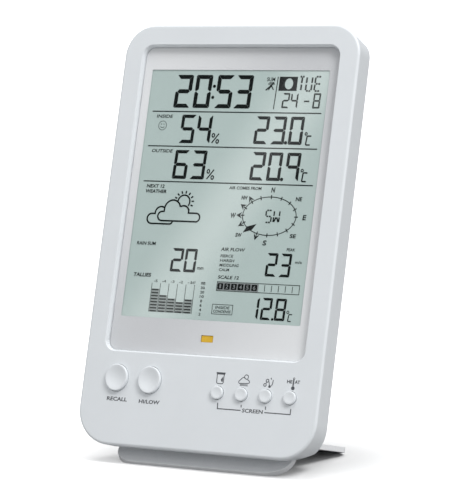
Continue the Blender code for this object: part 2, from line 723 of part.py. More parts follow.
def main_board(parent, finish):
    bm = bmesh.new()
    add_block(bm, (-53.6, BOARD_FRONT, 60.4), (53.6, BOARD_BACK, 171.0), corner=2.0, steps=2)
    board = from_bmesh("main_board", bm, parent, finish)

    bm = bmesh.new()
    places = [((number - 2) * REAR_KEY_PITCH, REAR_KEY_Z) for number in range(len(REAR_KEYS))]
    for x, z in [*places, SCAN_KEY, RESET_KEY]:
        add_block(bm, (x - 3.0, BOARD_BACK - 0.3, z - 2.6), (x + 3.0, SWITCH_TOP - 0.6, z + 2.6))
    for x in (-9.0, 9.0):
        add_block(bm, (x - 2.0, BOARD_BACK - 0.3, 170.2), (x + 2.0, 12.6, 174.2))
    add_block(bm, (-12.0, BOARD_BACK - 0.3, 101.0), (12.0, 11.0, 125.0), corner=1.0, steps=1)
    add_block(bm, (-44.0, BOARD_BACK - 0.3, 84.0), (-36.0, 10.6, 98.0))
    add_block(bm, (24.0, BOARD_BACK - 0.3, 108.0), (27.0, 10.8, 118.0))
    combine(board, from_bmesh("soldered_parts", bm, parent), "UNION")

    bm = bmesh.new()
    for x, z in [*places, SCAN_KEY, RESET_KEY]:
        add_cylinder(bm, (x, z), 1.6, SWITCH_TOP - 0.9, SWITCH_TOP, steps=10)
    for x, z in ((-30.0, 112.0), (-30.0, 122.0), (36.0, 124.0)):
        add_cylinder(bm, (x, z), 2.5, BOARD_BACK - 0.2, BOARD_BACK + 5.0, steps=12)
    combine(board, from_bmesh("switch_plungers", bm, parent), "UNION")

    bm = bmesh.new()
    for x, z in BOARD_SCREWS:
        add_cylinder(bm, (x, z), 1.3, 7.0, 11.0, steps=10)
    combine(board, from_bmesh("board_holes", bm, parent))


def modules(parent, black, board, metal, white, red):
    bm = bmesh.new()
    add_cylinder(bm, (34.0, 146.0), 6.0, BOARD_BACK + GAP, BOARD_BACK + 5.5, steps=24)
    buzzer = from_bmesh("buzzer", bm, parent, black)
    bm = bmesh.new()
    add_cylinder(bm, (34.0, 146.0), 1.1, BOARD_BACK + 3.5, BOARD_BACK + 7.0, steps=10)
    combine(buzzer, from_bmesh("buzzer_hole", bm, parent))

    bm = bmesh.new()
    add_block(bm, (-46.0, BOARD_BACK + GAP, 138.0), (-26.0, BOARD_BACK + 1.1, 152.0))
    radio = from_bmesh("receiver_module", bm, parent, board)
    bm = bmesh.new()
    add_block(bm, (-44.0, BOARD_BACK + 0.8, 140.0), (-34.0, BOARD_BACK + 2.9, 150.0), edge=0.3)
    combine(radio, from_bmesh("radio_shield", bm, parent), "UNION")

    route = smooth_path(
        (
            (-29.0, 11.4, 150.0), (-28.0, 14.0, 156.0), (-20.0, 16.0, 172.0),
            (0.0, 16.4, 176.5), (24.0, 16.0, 174.0), (36.0, 15.0, 160.0),
        ), 4,
    )
    tube("antenna_wire", route, 0.6, parent, red)

    bm = bmesh.new()
    add_block(bm, (12.0, BOARD_BACK + GAP, 132.0), (20.0, BOARD_BACK + 6.0, 142.0), corner=0.8, steps=1)
    sensor = from_bmesh("indoor_sensor", bm, parent, white)
    bm = bmesh.new()
    for number in range(3):
        z = 134.0 + 2.6 * number
        add_block(bm, (13.5, BOARD_BACK + 4.5, z), (18.5, BOARD_BACK + 8.0, z + 1.2))
    combine(sensor, from_bmesh("sensor_slots", bm, parent))

    x, z = UNIT_SWITCH
    bm = bmesh.new()
    add_block(bm, (x - 5.5, BOARD_BACK + GAP, z - 2.8), (x + 5.5, 16.4, z + 2.8))
    switch = from_bmesh("unit_switch_body", bm, parent, metal)
    bm = bmesh.new()
    add_block(bm, (x - 3.4, 14.0, z - 1.4), (x + 3.4, 18.0, z + 1.4))
    combine(switch, from_bmesh("switch_slot", bm, parent))
    bm = bmesh.new()
    start = x - UNIT_SWITCH_TRAVEL / 2
    add_block(bm, (start - 1.2, 14.6, z - 1.1), (start + 1.2, CASE_DEPTH - 0.5, z + 1.1), edge=0.2)
    from_bmesh("unit_switch_knob", bm, parent, black, origin=(start, 18.0, z))

    leads = (
        ("battery_lead_positive", red, (33.0, 12.0, 22.0), (36.0, 13.5, 42.0), (41.0, 12.5, 60.0)),
        ("battery_lead_negative", black, (-33.0, 12.0, 49.0), (-32.5, 13.5, 56.0), (-28.0, 12.5, 66.0)),
    )
    for name, finish, start_point, middle, end in leads:
        landing = (end[0], 10.2, end[2] + 3.0)
        tube(name, smooth_path((start_point, middle, end, landing), 3), 0.55, parent, finish)


# ---------------------------------------------------------------- keys on the back and on top


def rear_keys(parent, finish):
    for number, name in enumerate(REAR_KEYS):
        x = (number - 2) * REAR_KEY_PITCH
        half_x, half_z = REAR_KEY_SIZE[0] / 2, REAR_KEY_SIZE[1] / 2
        bm = bmesh.new()
        add_block(
            bm, (x - half_x, 18.6, REAR_KEY_Z - half_z),
            (x + half_x, CASE_DEPTH + 0.7, REAR_KEY_Z + half_z), corner=1.8, steps=3, edge=0.3,
        )
        key = from_bmesh(name, bm, parent, finish, origin=(x, CASE_DEPTH, REAR_KEY_Z))
        bm = bmesh.new()
        add_block(
            bm, (x - half_x - 1.0, 18.0, REAR_KEY_Z - half_z - 1.0),
            (x + half_x + 1.0, 19.1, REAR_KEY_Z + half_z + 1.0),
        )
        combine(key, from_bmesh(name + "_flange", bm, parent), "UNION")
        bm = bmesh.new()
        add_block(bm, (x - 1.5, REAR_KEY_STEM, REAR_KEY_Z - 1.2), (x + 1.5, 18.5, REAR_KEY_Z + 1.2))
        combine(key, from_bmesh(name + "_stem", bm, parent), "UNION")

    for name, place, radius, top in (
        ("scan_key", SCAN_KEY, 2.5, CASE_DEPTH + 0.5),
        ("reset_key", RESET_KEY, 1.5, CASE_DEPTH - 0.5),
    ):
        profile = (
            (0.0, -REAR_KEY_STEM), (1.2, -REAR_KEY_STEM), (1.2, -18.0), (radius + 1.0, -18.0),
            (radius + 1.0, -19.0), (radius, -19.0), (radius, -top + 0.3), (radius - 0.3, -top),
            (0.0, -top),
        )
        turned(name, profile, 16, parent, finish, (place[0], 0.0, place[1]))


def light_key(parent, finish):
    half_x, half_y = LIGHT_KEY_SIZE[0] / 2, LIGHT_KEY_SIZE[1] / 2
    surface = CASE_HEIGHT - LIGHT_KEY_Y * TOP_DRAFT
    bm = bmesh.new()
    add_block(
        bm, (-half_x, LIGHT_KEY_Y - half_y, surface - 4.6),
        (half_x, LIGHT_KEY_Y + half_y, surface + LIGHT_KEY_HEIGHT), corner=2.2, steps=3,
        along="z", edge=0.4,
    )
    key = from_bmesh("light_key", bm, parent, finish, origin=(0.0, LIGHT_KEY_Y, surface))
    bm = bmesh.new()
    add_block(
        bm, (-half_x - 1.2, LIGHT_KEY_Y - half_y + 0.3, surface - 5.2),
        (half_x + 1.2, LIGHT_KEY_Y + half_y - 0.3, surface - 4.1),
    )
    combine(key, from_bmesh("light_key_flange", bm, parent), "UNION")
    bm = bmesh.new()
    for x in (-9.0, 9.0):
        add_block(bm, (x - 1.5, 10.2, 175.4), (x + 1.5, 12.2, surface - 4.8))
    combine(key, from_bmesh("light_key_stems", bm, parent), "UNION")


# ---------------------------------------------------------------- batteries


def batteries(parent, label, metal):
    for number, z in enumerate(CELL_Z):
        side = 1 if number % 2 == 0 else -1
        nub = side * 27.6
        can = side * 26.5
        end = side * (27.6 - CELL_LENGTH)
        bm = bmesh.new()
        low, high = sorted((can, end))
        add_cylinder(bm, (CELL_Y, z), CELL_RADIUS, low, high, along="x", steps=20)
        cell = from_bmesh(f"battery_{number + 1}", bm, parent, label)
        bm = bmesh.new()
        low, high = sorted((can - side * 0.5, nub))
        add_cylinder(bm, (CELL_Y, z), 2.7, low, high, along="x", steps=12)
        combine(cell, from_bmesh(f"battery_nub_{number + 1}", bm, parent), "UNION")

    lower, middle, upper = CELL_Z
    contact("battery_terminal_positive", parent, metal, 1, (lower,), None)
    contact("battery_link_left", parent, metal, -1, (lower, middle), lower)
    contact("battery_link_right", parent, metal, 1, (middle, upper), middle)
    contact("battery_terminal_negative", parent, metal, -1, (upper,), upper)


def contact(name, parent, metal, side, heights, spring_z):
    """A contact plate against the compartment's end wall, with a coil where a can's flat end rests."""
    bm = bmesh.new()
    wall = side * (CAVITY_HALF_WIDTH - 0.05)
    face = side * (CAVITY_HALF_WIDTH - 0.4)
    low, high = sorted((wall, face))
    add_block(bm, (low, CELL_Y - 5.0, heights[0] - 5.0), (high, CELL_Y + 5.0, heights[-1] + 5.0))
    plate = from_bmesh(name, bm, parent, metal)
    if spring_z is None:
        return
    turns = 3
    points = 11
    reach = CAVITY_HALF_WIDTH - 0.4 - (CELL_LENGTH - 27.6) - 0.5
    path = []
    for step in range(turns * points + 1):
        share = step / (turns * points)
        angle = 2 * math.pi * share * turns
        radius = 4.3 - 2.0 * share
        along = side * (CAVITY_HALF_WIDTH - 0.45 - reach * share)
        path.append((along, CELL_Y + radius * math.cos(angle), spring_z + radius * math.sin(angle)))
    combine(plate, tube_as_mesh(name + "_coil", path, 0.32, parent), "UNION")


# ---------------------------------------------------------------- screws


def screw(name, x, z, head_y, radius, length, head_radius, head_height, parent, finish):
    """A pan-head screw whose head rests at head_y and faces the back."""
    profile = (
        (0.0, -head_y + length), (radius * 0.6, -head_y + length), (radius, -head_y + length - 0.8),
        (radius, -head_y), (head_radius, -head_y), (head_radius, -head_y - head_height * 0.55),
        (head_radius * 0.72, -head_y - head_height), (0.0, -head_y - head_height),
    )
    turned(name, profile, 12, parent, finish, (x, 0.0, z))


def screws(parent, finish):
    for number, (x, z) in enumerate(CASE_SCREWS):
        screw(f"case_screw_{number + 1}", x, z, 15.7, 1.15, 8.0, 2.3, 1.5, parent, finish)
    for number, (x, z) in enumerate(BOARD_SCREWS):
        screw(f"board_screw_{number + 1}", x, z, BOARD_BACK + 0.1, 0.95, 4.6, 1.9, 1.2, parent, finish)
    for number, (x, z) in enumerate(KEY_BOARD_SCREWS):
        screw(
            f"key_board_screw_{number + 1}", x, z, KEY_BOARD_BACK + 0.05, 0.75, 3.0, 1.6, 0.9,
            parent, finish,
        )


# ---------------------------------------------------------------- table stand


def stand_profile():
    """The stand's upper surface from its front foot over the ridge to its rear foot."""
    front_foot = [
        (4.4, -7.3), (6.6, -6.1), (9.2, -4.8), (11.8, -3.5), (14.0, -2.2), (15.6, -0.7),
        (16.6, 1.3), (17.3, 3.2), (18.1, 4.8), (19.6, 5.2),
    ]
    rear_foot = [(23.4, 4.35), (32.0, 2.6), (44.0, 0.15), (56.0, -2.3)]
    tip = [(65.5, -4.2), (69.5, -5.0), (72.4, -5.7), (74.4, -6.4), (75.6, -7.2)]
    return front_foot + rear_foot + tip


def stand_rows():
    """Points along the stand's upper surface, each with the plate's half width there."""
    path = smooth_path([(0.0, y, z) for y, z in stand_profile()], 4)
    lengths = [0.0]
    for start, end in zip(path, path[1:]):
        lengths.append(lengths[-1] + (end - start).length)
    total = lengths[-1]
    angles = [math.pi / 2 * step / 6 for step in range(7)]
    ends = [(STAND_CORNER * (1 - math.cos(a)), STAND_CORNER * (1 - math.sin(a))) for a in angles]
    span = total - 2 * STAND_CORNER
    steps = 26
    middle = [(STAND_CORNER + span * step / steps, 0.0) for step in range(1, steps)]
    runs = ends + middle + [(total - run, cut) for run, cut in reversed(ends)]
    rows = []
    for run, cut in runs:
        index = max(i for i in range(len(path) - 1) if lengths[i] <= run)
        share = (run - lengths[index]) / (lengths[index + 1] - lengths[index])
        rows.append((path[index].lerp(path[index + 1], share), STAND_HALF_WIDTH - cut))
    return rows


def table_stand(parent, leaning, finish):
    bm = bmesh.new()
    rows = [
        [bm.verts.new((x, place.y, place.z)) for x in (-half, -half / 3, half / 3, half)]
        for place, half in stand_rows()
    ]
    for lower, upper in zip(rows, rows[1:]):
        for column in range(3):
            bm.faces.new((lower[column], lower[column + 1], upper[column + 1], upper[column]))
    stand = from_bmesh("table_stand", bm, parent, finish)
    shell = stand.modifiers.new("thickness", "SOLIDIFY")
    shell.thickness = STAND_THICKNESS * MM
    shell.offset = -1.0
    shell.use_even_offset = True
    rounding = stand.modifiers.new("edge_rounding", "BEVEL")
    rounding.width = 0.5 * MM
    rounding.segments = 2
    rounding.limit_method = "ANGLE"
    rounding.angle_limit = math.radians(50)

    bm = bmesh.new()
    add_block(bm, (-60.0, -20.0, -30.0), (60.0, 100.0, -EDGE_HEIGHT))
    combine(stand, from_bmesh("floor_plane", bm, parent))

    bm = bmesh.new()
    for side in (-1, 1):
        x = side * HOOK_X
        half = HOOK_WIDTH / 2
        add_block(bm, (x - half, HOOK_Y[0], 8.8), (x + half, HOOK_Y[1], HOOK_TOP), edge=0.4)
    combine(stand, from_bmesh("stand_hooks", bm, leaning), "UNION")
    return stand


# ---------------------------------------------------------------- assembly


def main():
    clear_scene()
    console = empty("console_axes", (0.0, EDGE_Y, EDGE_HEIGHT), LEAN)
    upright = empty("stand_axes", (0.0, EDGE_Y, EDGE_HEIGHT), 0.0)

    shell = material("case_plastic", (0.80, 0.82, 0.84), 0.42)
    key_plastic = material("key_plastic", (0.82, 0.84, 0.86), 0.35)
    stand_plastic = material("stand_plastic", (0.76, 0.77, 0.79), 0.35)
    clear = material("lens_plastic", (0.95, 0.95, 0.96), 0.05, transmission=1.0)
    lcd = material("display_glass", (0.62, 0.68, 0.66), 0.2)
    diffuser = material("diffuser_plastic", (0.93, 0.94, 0.94), 0.4)
    white = material("white_plastic", (0.88, 0.88, 0.86), 0.5)
    amber = material("amber_plastic", (0.92, 0.72, 0.10), 0.35)
    circuit = material("circuit_board", (0.03, 0.22, 0.10), 0.45)
    flex = material("flex_film", (0.65, 0.38, 0.10), 0.4)
    film = material("adhesive_film", (0.90, 0.90, 0.88), 0.7)
    rubber = material("contact_rubber", (0.10, 0.10, 0.11), 0.8)
    black = material("black_plastic", (0.03, 0.03, 0.03), 0.5)
    metal = material("plated_steel", (0.75, 0.75, 0.77), 0.25, metallic=1.0)
    label = material("battery_label", (0.08, 0.09, 0.12), 0.35)
    red = material("red_insulation", (0.60, 0.04, 0.03), 0.5)

    front_case(console, shell)
    rear_cover(console, shell)
    battery_door(console, shell)
    display(console, clear, film, lcd, diffuser, white, rubber, amber, circuit)
    front_keys(console, key_plastic)
    key_electronics(console, circuit, rubber, flex)
    main_board(console, circuit)
    modules(console, black, circuit, metal, white, red)
    rear_keys(console, key_plastic)
    light_key(console, key_plastic)
    batteries(console, label, metal)
    screws(console, metal)
    table_stand(upright, console, stand_plastic)


main()
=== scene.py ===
"""Looks for the desktop weather station console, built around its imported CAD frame."""

import json
import math

import bmesh
import bpy
from mathutils import Matrix, Vector


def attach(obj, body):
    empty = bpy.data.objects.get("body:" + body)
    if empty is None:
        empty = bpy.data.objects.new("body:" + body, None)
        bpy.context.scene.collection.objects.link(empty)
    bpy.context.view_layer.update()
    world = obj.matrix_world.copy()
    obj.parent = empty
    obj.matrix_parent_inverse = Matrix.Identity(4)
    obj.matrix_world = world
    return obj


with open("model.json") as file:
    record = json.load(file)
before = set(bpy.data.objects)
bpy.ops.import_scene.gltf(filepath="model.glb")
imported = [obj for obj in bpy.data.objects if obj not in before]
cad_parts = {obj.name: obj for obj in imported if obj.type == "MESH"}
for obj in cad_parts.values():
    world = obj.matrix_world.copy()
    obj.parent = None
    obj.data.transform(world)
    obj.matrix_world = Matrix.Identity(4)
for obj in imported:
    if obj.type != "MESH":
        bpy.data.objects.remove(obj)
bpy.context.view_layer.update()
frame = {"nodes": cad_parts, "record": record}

# The console's own axes, in millimetres: x across, y from the front face into the body, z up
# the face. They lean back from the bottom front edge.
MM = 0.001
LEAN = math.radians(15.1)
EDGE = Vector((0.0, -36.79, 8.75))
CONSOLE = (
    Matrix.Scale(MM, 4)
    @ Matrix.Translation(EDGE)
    @ Matrix.Rotation(-LEAN, 4, "X")
)

# The front and back of each printed layer, in millimetres behind the front face.
PRINT_LAYER = (-0.035, 0.03)
BORDER_LAYER = (2.802, 2.824)
SEGMENT_LAYER = (3.035, 3.07)
NUMBER_LAYER = (3.02, 3.034)
BACKING_LAYER = (3.075, 3.09)


# ---------------------------------------------------------------- camera, floor and light

# Lengths here are in metres. The lens and its sensor are in millimetres.
CAMERA_PLACE = (0.4928, -0.94339, 0.18315)
CAMERA_DOWN = 4.816  # degrees below level
CAMERA_TURN = 27.681  # degrees about the upright axis
CAMERA_LENS = 171.44
CAMERA_SENSOR = 36.0
CAMERA_NEAR = 0.05

# The floor runs from its front edge to the bend, curves up and ends at the top of the backdrop.
SWEEP_FRONT, SWEEP_BEND, SWEEP_RADIUS, SWEEP_TOP = -2.2, 1.2, 0.9, 4.0
SWEEP_HALF_WIDTH = 4.0
SWEEP_STEPS = 16
SWEEP_TURN = 27.7  # degrees, to face the camera

# The floor's glow is nothing within its near distance from the centre and full past the far one.
GLOW_CENTRE = (0.027, 0.008, 0.0)
GLOW_NEAR, GLOW_FAR = 0.03, 0.17
FLOOR_COLOUR = (0.86, 0.86, 0.86, 1.0)
BOUNCE_COLOUR = (0.42, 0.42, 0.42, 1.0)

SKY_COLOUR = (0.98, 0.99, 1.0, 1.0)
SKY_STRENGTH = 0.58
LIGHT_TARGET = (0.0, 0.0, 0.08)
# Each softbox: its place, its width and height, and its power in watts.
SOFTBOXES = {
    "key_softbox": ((1.36, -0.59, 1.71), (0.7, 0.7), 27.0),
    "top_softbox": ((-0.17, -0.17, 2.45), (1.5, 1.5), 22.5),
}


def add_camera():
    camera = bpy.data.objects.new("camera", bpy.data.cameras.new("camera"))
    bpy.context.scene.collection.objects.link(camera)
    camera.location = CAMERA_PLACE
    camera.rotation_euler = (
        math.radians(90.0 - CAMERA_DOWN), 0.0, math.radians(CAMERA_TURN),
    )
    camera.data.lens = CAMERA_LENS
    camera.data.sensor_width = CAMERA_SENSOR
    camera.data.clip_start = CAMERA_NEAR
    bpy.context.scene.camera = camera


def add_stage():
    """A pale floor that curves up into a backdrop."""
    profile = [(SWEEP_FRONT, 0.0), (SWEEP_BEND, 0.0)]
    for step in range(1, SWEEP_STEPS + 1):
        angle = math.pi / 2 * step / SWEEP_STEPS
        y = SWEEP_BEND + SWEEP_RADIUS * math.sin(angle)
        profile.append((y, SWEEP_RADIUS * (1 - math.cos(angle))))
    profile.append((SWEEP_BEND + SWEEP_RADIUS, SWEEP_TOP))
    bm = bmesh.new()
    sides = (-SWEEP_HALF_WIDTH, SWEEP_HALF_WIDTH)
    rows = [[bm.verts.new((x, y, z)) for x in sides] for y, z in profile]
    for near, far in zip(rows, rows[1:]):
        bm.faces.new((near[0], near[1], far[1], far[0]))
    mesh = bpy.data.meshes.new("studio_sweep")
    bm.to_mesh(mesh)
    bm.free()
    mesh.shade_smooth()
    sweep = bpy.data.objects.new("studio_sweep", mesh)
    bpy.context.scene.collection.objects.link(sweep)
    sweep.matrix_world = Matrix.Rotation(math.radians(SWEEP_TURN), 4, "Z")
    mesh.materials.append(floor_material())


def floor_material():
    """White in view, with the far part glowing faintly; only a dim bounce on the object."""
    item, tree, shader = new_material("pale_floor")
    shader.inputs["Base Color"].default_value = FLOOR_COLOUR
    shader.inputs["Roughness"].default_value = 0.9
    shader.inputs["Specular IOR Level"].default_value = 0.0
    shader.inputs["Emission Color"].default_value = (1.0, 1.0, 1.0, 1.0)
    coordinates = tree.nodes.new("ShaderNodeTexCoord")
    centred = tree.nodes.new("ShaderNodeVectorMath")
    centred.operation = "SUBTRACT"
    centred.inputs[1].default_value = GLOW_CENTRE
    tree.links.new(coordinates.outputs["Object"], centred.inputs[0])
    distance = tree.nodes.new("ShaderNodeVectorMath")
    distance.operation = "LENGTH"
    tree.links.new(centred.outputs["Vector"], distance.inputs[0])
    glow = tree.nodes.new("ShaderNodeMapRange")
    glow.inputs["From Min"].default_value = GLOW_NEAR
    glow.inputs["From Max"].default_value = GLOW_FAR
    tree.links.new(distance.outputs["Value"], glow.inputs["Value"])
    tree.links.new(glow.outputs["Result"], shader.inputs["Emission Strength"])
    dim = tree.nodes.new("ShaderNodeBsdfDiffuse")
    dim.inputs["Color"].default_value = BOUNCE_COLOUR
    path = tree.nodes.new("ShaderNodeLightPath")
    mix = tree.nodes.new("ShaderNodeMixShader")
    tree.links.new(path.outputs["Is Camera Ray"], mix.inputs[0])
    tree.links.new(dim.outputs["BSDF"], mix.inputs[1])
    tree.links.new(shader.outputs["BSDF"], mix.inputs[2])
    tree.links.new(mix.outputs["Shader"], tree.nodes["Material Output"].inputs["Surface"])
    return item


def add_softbox(name, place, size, power):
    data = bpy.data.lights.new(name, "AREA")
    data.shape = "RECTANGLE"
    data.size, data.size_y = size
    data.energy = power
    light = bpy.data.objects.new(name, data)
    light.location = place
    aim = Vector(LIGHT_TARGET) - Vector(place)
    light.rotation_euler = aim.to_track_quat("-Z", "Y").to_euler()
    bpy.context.scene.collection.objects.link(light)


def add_light():
    """An even pale surround with two soft lights, and colours shown as they are."""
    bpy.context.scene.view_settings.view_transform = "Standard"
    world = bpy.data.worlds.new("studio")
    bpy.context.scene.world = world
    world.use_nodes = True
    background = world.node_tree.nodes["Background"]
    background.inputs["Color"].default_value = SKY_COLOUR
    background.inputs["Strength"].default_value = SKY_STRENGTH
    for name, (place, size, power) in SOFTBOXES.items():
        add_softbox(name, place, size, power)


# ---------------------------------------------------------------- materials

# Nearly all of a noise pattern's values lie between these two.
NOISE_LOW, NOISE_HIGH = 0.3, 0.7
NOISE_ROUGHNESS = 0.6

# Along the line x = slope * z - shift, with the slope and shift below, in metres, a soft
# reflection is painted on the display and a shade is painted on the printed border. Both fade
# out at their reach to either side. The painted shade spreads wider on the printed border.
PAINTED_BAND_SLOPE, PAINTED_BAND_SHIFT = 0.62, 0.068
PAINTED_REFLECTION_REACH, BORDER_PAINTED_SHADE_REACH = 0.027, 0.085

LENS_COLOUR = (0.020, 0.022, 0.024)
LENS_IOR = 1.49
LENS_SPECULAR = 0.06
LENS_ALPHA = 0.03
DISPLAY_SPECULAR = 0.15
DISPLAY_RELIEF = 0.000003


def new_material(name):
    item = bpy.data.materials.new(name)
    item.use_nodes = True
    tree = item.node_tree
    return item, tree, tree.nodes["Principled BSDF"]


def grain(tree, scale, detail=4.0, stretch=None):
    """A noise pattern in the piece's own coordinates, scale in cycles a metre."""
    coordinates = tree.nodes.new("ShaderNodeTexCoord")
    noise = tree.nodes.new("ShaderNodeTexNoise")
    noise.inputs["Scale"].default_value = scale
    noise.inputs["Detail"].default_value = detail
    noise.inputs["Roughness"].default_value = NOISE_ROUGHNESS
    source = coordinates.outputs["Object"]
    if stretch:
        mapping = tree.nodes.new("ShaderNodeMapping")
        mapping.inputs["Scale"].default_value = stretch
        tree.links.new(source, mapping.inputs["Vector"])
        source = mapping.outputs["Vector"]
    tree.links.new(source, noise.inputs["Vector"])
    return noise.outputs["Fac"]


def remap(tree, noise, low, high):
    """Spreads a noise pattern over the values from low to high."""
    node = tree.nodes.new("ShaderNodeMapRange")
    node.inputs["From Min"].default_value = NOISE_LOW
    node.inputs["From Max"].default_value = NOISE_HIGH
    node.inputs["To Min"].default_value = low
    node.inputs["To Max"].default_value = high
    tree.links.new(noise, node.inputs["Value"])
    return node.outputs["Result"]


def mottled(tree, shader, colour, spread, scale):
    """Varies a colour a little, up and down, over patches of the given scale."""
    ramp = tree.nodes.new("ShaderNodeValToRGB")
    low, high = ramp.color_ramp.elements
    low.position, high.position = NOISE_LOW, NOISE_HIGH
    low.color = (*[c * (1 - spread) for c in colour], 1.0)
    high.color = (*[min(1.0, c * (1 + spread)) for c in colour], 1.0)
    tree.links.new(grain(tree, scale), ramp.inputs["Fac"])
    tree.links.new(ramp.outputs["Color"], shader.inputs["Base Color"])


def bump(tree, shader, height, distance):
    """Raises the surface by a pattern, up to the given distance in metres."""
    node = tree.nodes.new("ShaderNodeBump")
    node.inputs["Distance"].default_value = distance
    node.inputs["Strength"].default_value = 1.0
    tree.links.new(height, node.inputs["Height"])
    tree.links.new(node.outputs["Normal"], shader.inputs["Normal"])


def surface(name, colour, roughness, spread, patch, fine, relief, metallic=0.0,
            rough_spread=0.05, stretch=None):
    """A moulded, plated or printed finish with grain, colour drift and uneven gloss.

    The colour drifts by spread over patch cycles a metre. The grain has fine cycles a metre
    and stands relief metres high.
    """
    item, tree, shader = new_material(name)
    mottled(tree, shader, colour, spread, patch)
    texture = grain(tree, fine, stretch=stretch)
    low, high = roughness - rough_spread, roughness + rough_spread
    tree.links.new(remap(tree, texture, low, high), shader.inputs["Roughness"])
    shader.inputs["Metallic"].default_value = metallic
    bump(tree, shader, texture, relief)
    return item


def lens_material():
    """Almost clear, with a weak reflection."""
    item, tree, shader = new_material("clear_lens")
    mottled(tree, shader, LENS_COLOUR, spread=0.01, scale=40.0)
    gloss = remap(tree, grain(tree, scale=900.0), low=0.02, high=0.06)
    tree.links.new(gloss, shader.inputs["Roughness"])
    shader.inputs["IOR"].default_value = LENS_IOR
    shader.inputs["Specular IOR Level"].default_value = LENS_SPECULAR
    shader.inputs["Alpha"].default_value = LENS_ALPHA
    return item


def painted_band(tree, reach):
    """How deep a point lies in the band of painted reflection and painted shade that runs across
    the display, 0 to 1.
    """
    coordinates = tree.nodes.new("ShaderNodeTexCoord")
    split = tree.nodes.new("ShaderNodeSeparateXYZ")
    tree.links.new(coordinates.outputs["Object"], split.inputs["Vector"])
    slope = tree.nodes.new("ShaderNodeMath")
    slope.operation = "MULTIPLY_ADD"
    slope.inputs[1].default_value = -PAINTED_BAND_SLOPE
    tree.links.new(split.outputs["Z"], slope.inputs[0])
    tree.links.new(split.outputs["X"], slope.inputs[2])
    shifted = tree.nodes.new("ShaderNodeMath")
    shifted.operation = "ADD"
    shifted.inputs[1].default_value = PAINTED_BAND_SHIFT
    tree.links.new(slope.outputs["Value"], shifted.inputs[0])
    away = tree.nodes.new("ShaderNodeMath")
    away.operation = "ABSOLUTE"
    tree.links.new(shifted.outputs["Value"], away.inputs[0])
    fade = tree.nodes.new("ShaderNodeMapRange")
    fade.interpolation_type = "SMOOTHSTEP"
    fade.inputs["From Min"].default_value = 0.0
    fade.inputs["From Max"].default_value = reach
    fade.inputs["To Min"].default_value = 1.0
    fade.inputs["To Max"].default_value = 0.0
    tree.links.new(away.outputs["Value"], fade.inputs["Value"])
    return fade.outputs["Result"]


def display_material(name, away, inside, roughness, fine=3000.0, reach=PAINTED_REFLECTION_REACH):
    """A layer of the display: one colour, and another inside the painted band, where a
    reflection is painted on the display and a shade on the border, with a fine grain.
    """
    item, tree, shader = new_material(name)
    ramp = tree.nodes.new("ShaderNodeValToRGB")
    low, high = ramp.color_ramp.elements
    low.color = (*away, 1.0)
    high.color = (*inside, 1.0)
    tree.links.new(painted_band(tree, reach), ramp.inputs["Fac"])
    tree.links.new(ramp.outputs["Color"], shader.inputs["Base Color"])
    shader.inputs["Specular IOR Level"].default_value = DISPLAY_SPECULAR
    texture = grain(tree, fine, detail=2.0)
    gloss = remap(tree, texture, roughness - 0.04, roughness + 0.04)
    tree.links.new(gloss, shader.inputs["Roughness"])
    bump(tree, shader, texture, DISPLAY_RELIEF)
    return item


def metal_material(name, colour, roughness):
    """A plated metal, its grain drawn out along z."""
    return surface(
        name, colour, roughness, 0.03, 250.0, 1800.0, 0.000006, metallic=1.0, rough_spread=0.06,
        stretch=(1.0, 1.0, 0.25),
    )


# The numbers after a surface's colour are its roughness, spread, patch, fine and relief. The two
# colours of a display layer are the ones away from the painted band and inside it: inside, a
# reflection is painted on the display and a shade on the printed border.
CASE = surface("case_plastic", (0.745, 0.775, 0.800), 0.42, 0.012, 45.0, 2600.0, 0.000012)
KEYS = surface("key_plastic", (0.760, 0.790, 0.815), 0.36, 0.010, 90.0, 2200.0, 0.000006)
STAND = surface("stand_plastic", (0.850, 0.860, 0.875), 0.30, 0.012, 50.0, 2600.0, 0.000008)
# The border's second colour is darker: inside the band a shade is painted on the print.
BORDER = display_material(
    "border_print_painted_shade", (0.860, 0.872, 0.885), (0.680, 0.692, 0.712), 0.40,
    reach=BORDER_PAINTED_SHADE_REACH,
)
INK = surface("label_ink", (0.075, 0.080, 0.090), 0.55, 0.10, 900.0, 4000.0, 0.000003)
# The segments' second colours are lighter: inside the band a reflection is painted on them.
SEGMENT = display_material(
    "segment_black", (0.003, 0.006, 0.0055), (0.062, 0.066, 0.066), 0.35,
)
SEGMENT_SOFT = display_material(
    "segment_grey", (0.012, 0.018, 0.017), (0.085, 0.092, 0.090), 0.35,
)
SEGMENT_FAINT = display_material(
    "segment_pale", (0.105, 0.130, 0.125), (0.150, 0.170, 0.165), 0.38,
)
SEGMENT_TINT = display_material(
    "segment_tint", (0.240, 0.262, 0.265), (0.280, 0.300, 0.300), 0.38,
)
SEGMENT_WASH = display_material(
    "segment_wash", (0.315, 0.365, 0.355), (0.400, 0.445, 0.435), 0.38,
)
AMBER = surface("amber_window", (0.820, 0.500, 0.035), 0.35, 0.04, 300.0, 2500.0, 0.000004)
WHITE = surface("white_plastic", (0.780, 0.780, 0.760), 0.50, 0.015, 60.0, 2200.0, 0.000010)
BLACK = surface("black_plastic", (0.020, 0.020, 0.021), 0.48, 0.10, 120.0, 2400.0, 0.000010)
RUBBER = surface("contact_rubber", (0.060, 0.060, 0.064), 0.75, 0.10, 150.0, 3000.0, 0.000012)
CIRCUIT = surface("solder_mask", (0.020, 0.140, 0.062), 0.38, 0.18, 500.0, 1800.0, 0.000015)
FLEX = surface("flex_film", (0.480, 0.230, 0.045), 0.35, 0.08, 300.0, 2500.0, 0.000008)
TAPE = surface("adhesive_film", (0.820, 0.815, 0.790), 0.70, 0.02, 120.0, 2600.0, 0.000010)
DIFFUSER = surface("opal_diffuser", (0.860, 0.880, 0.880), 0.40, 0.01, 80.0, 2600.0, 0.000005)
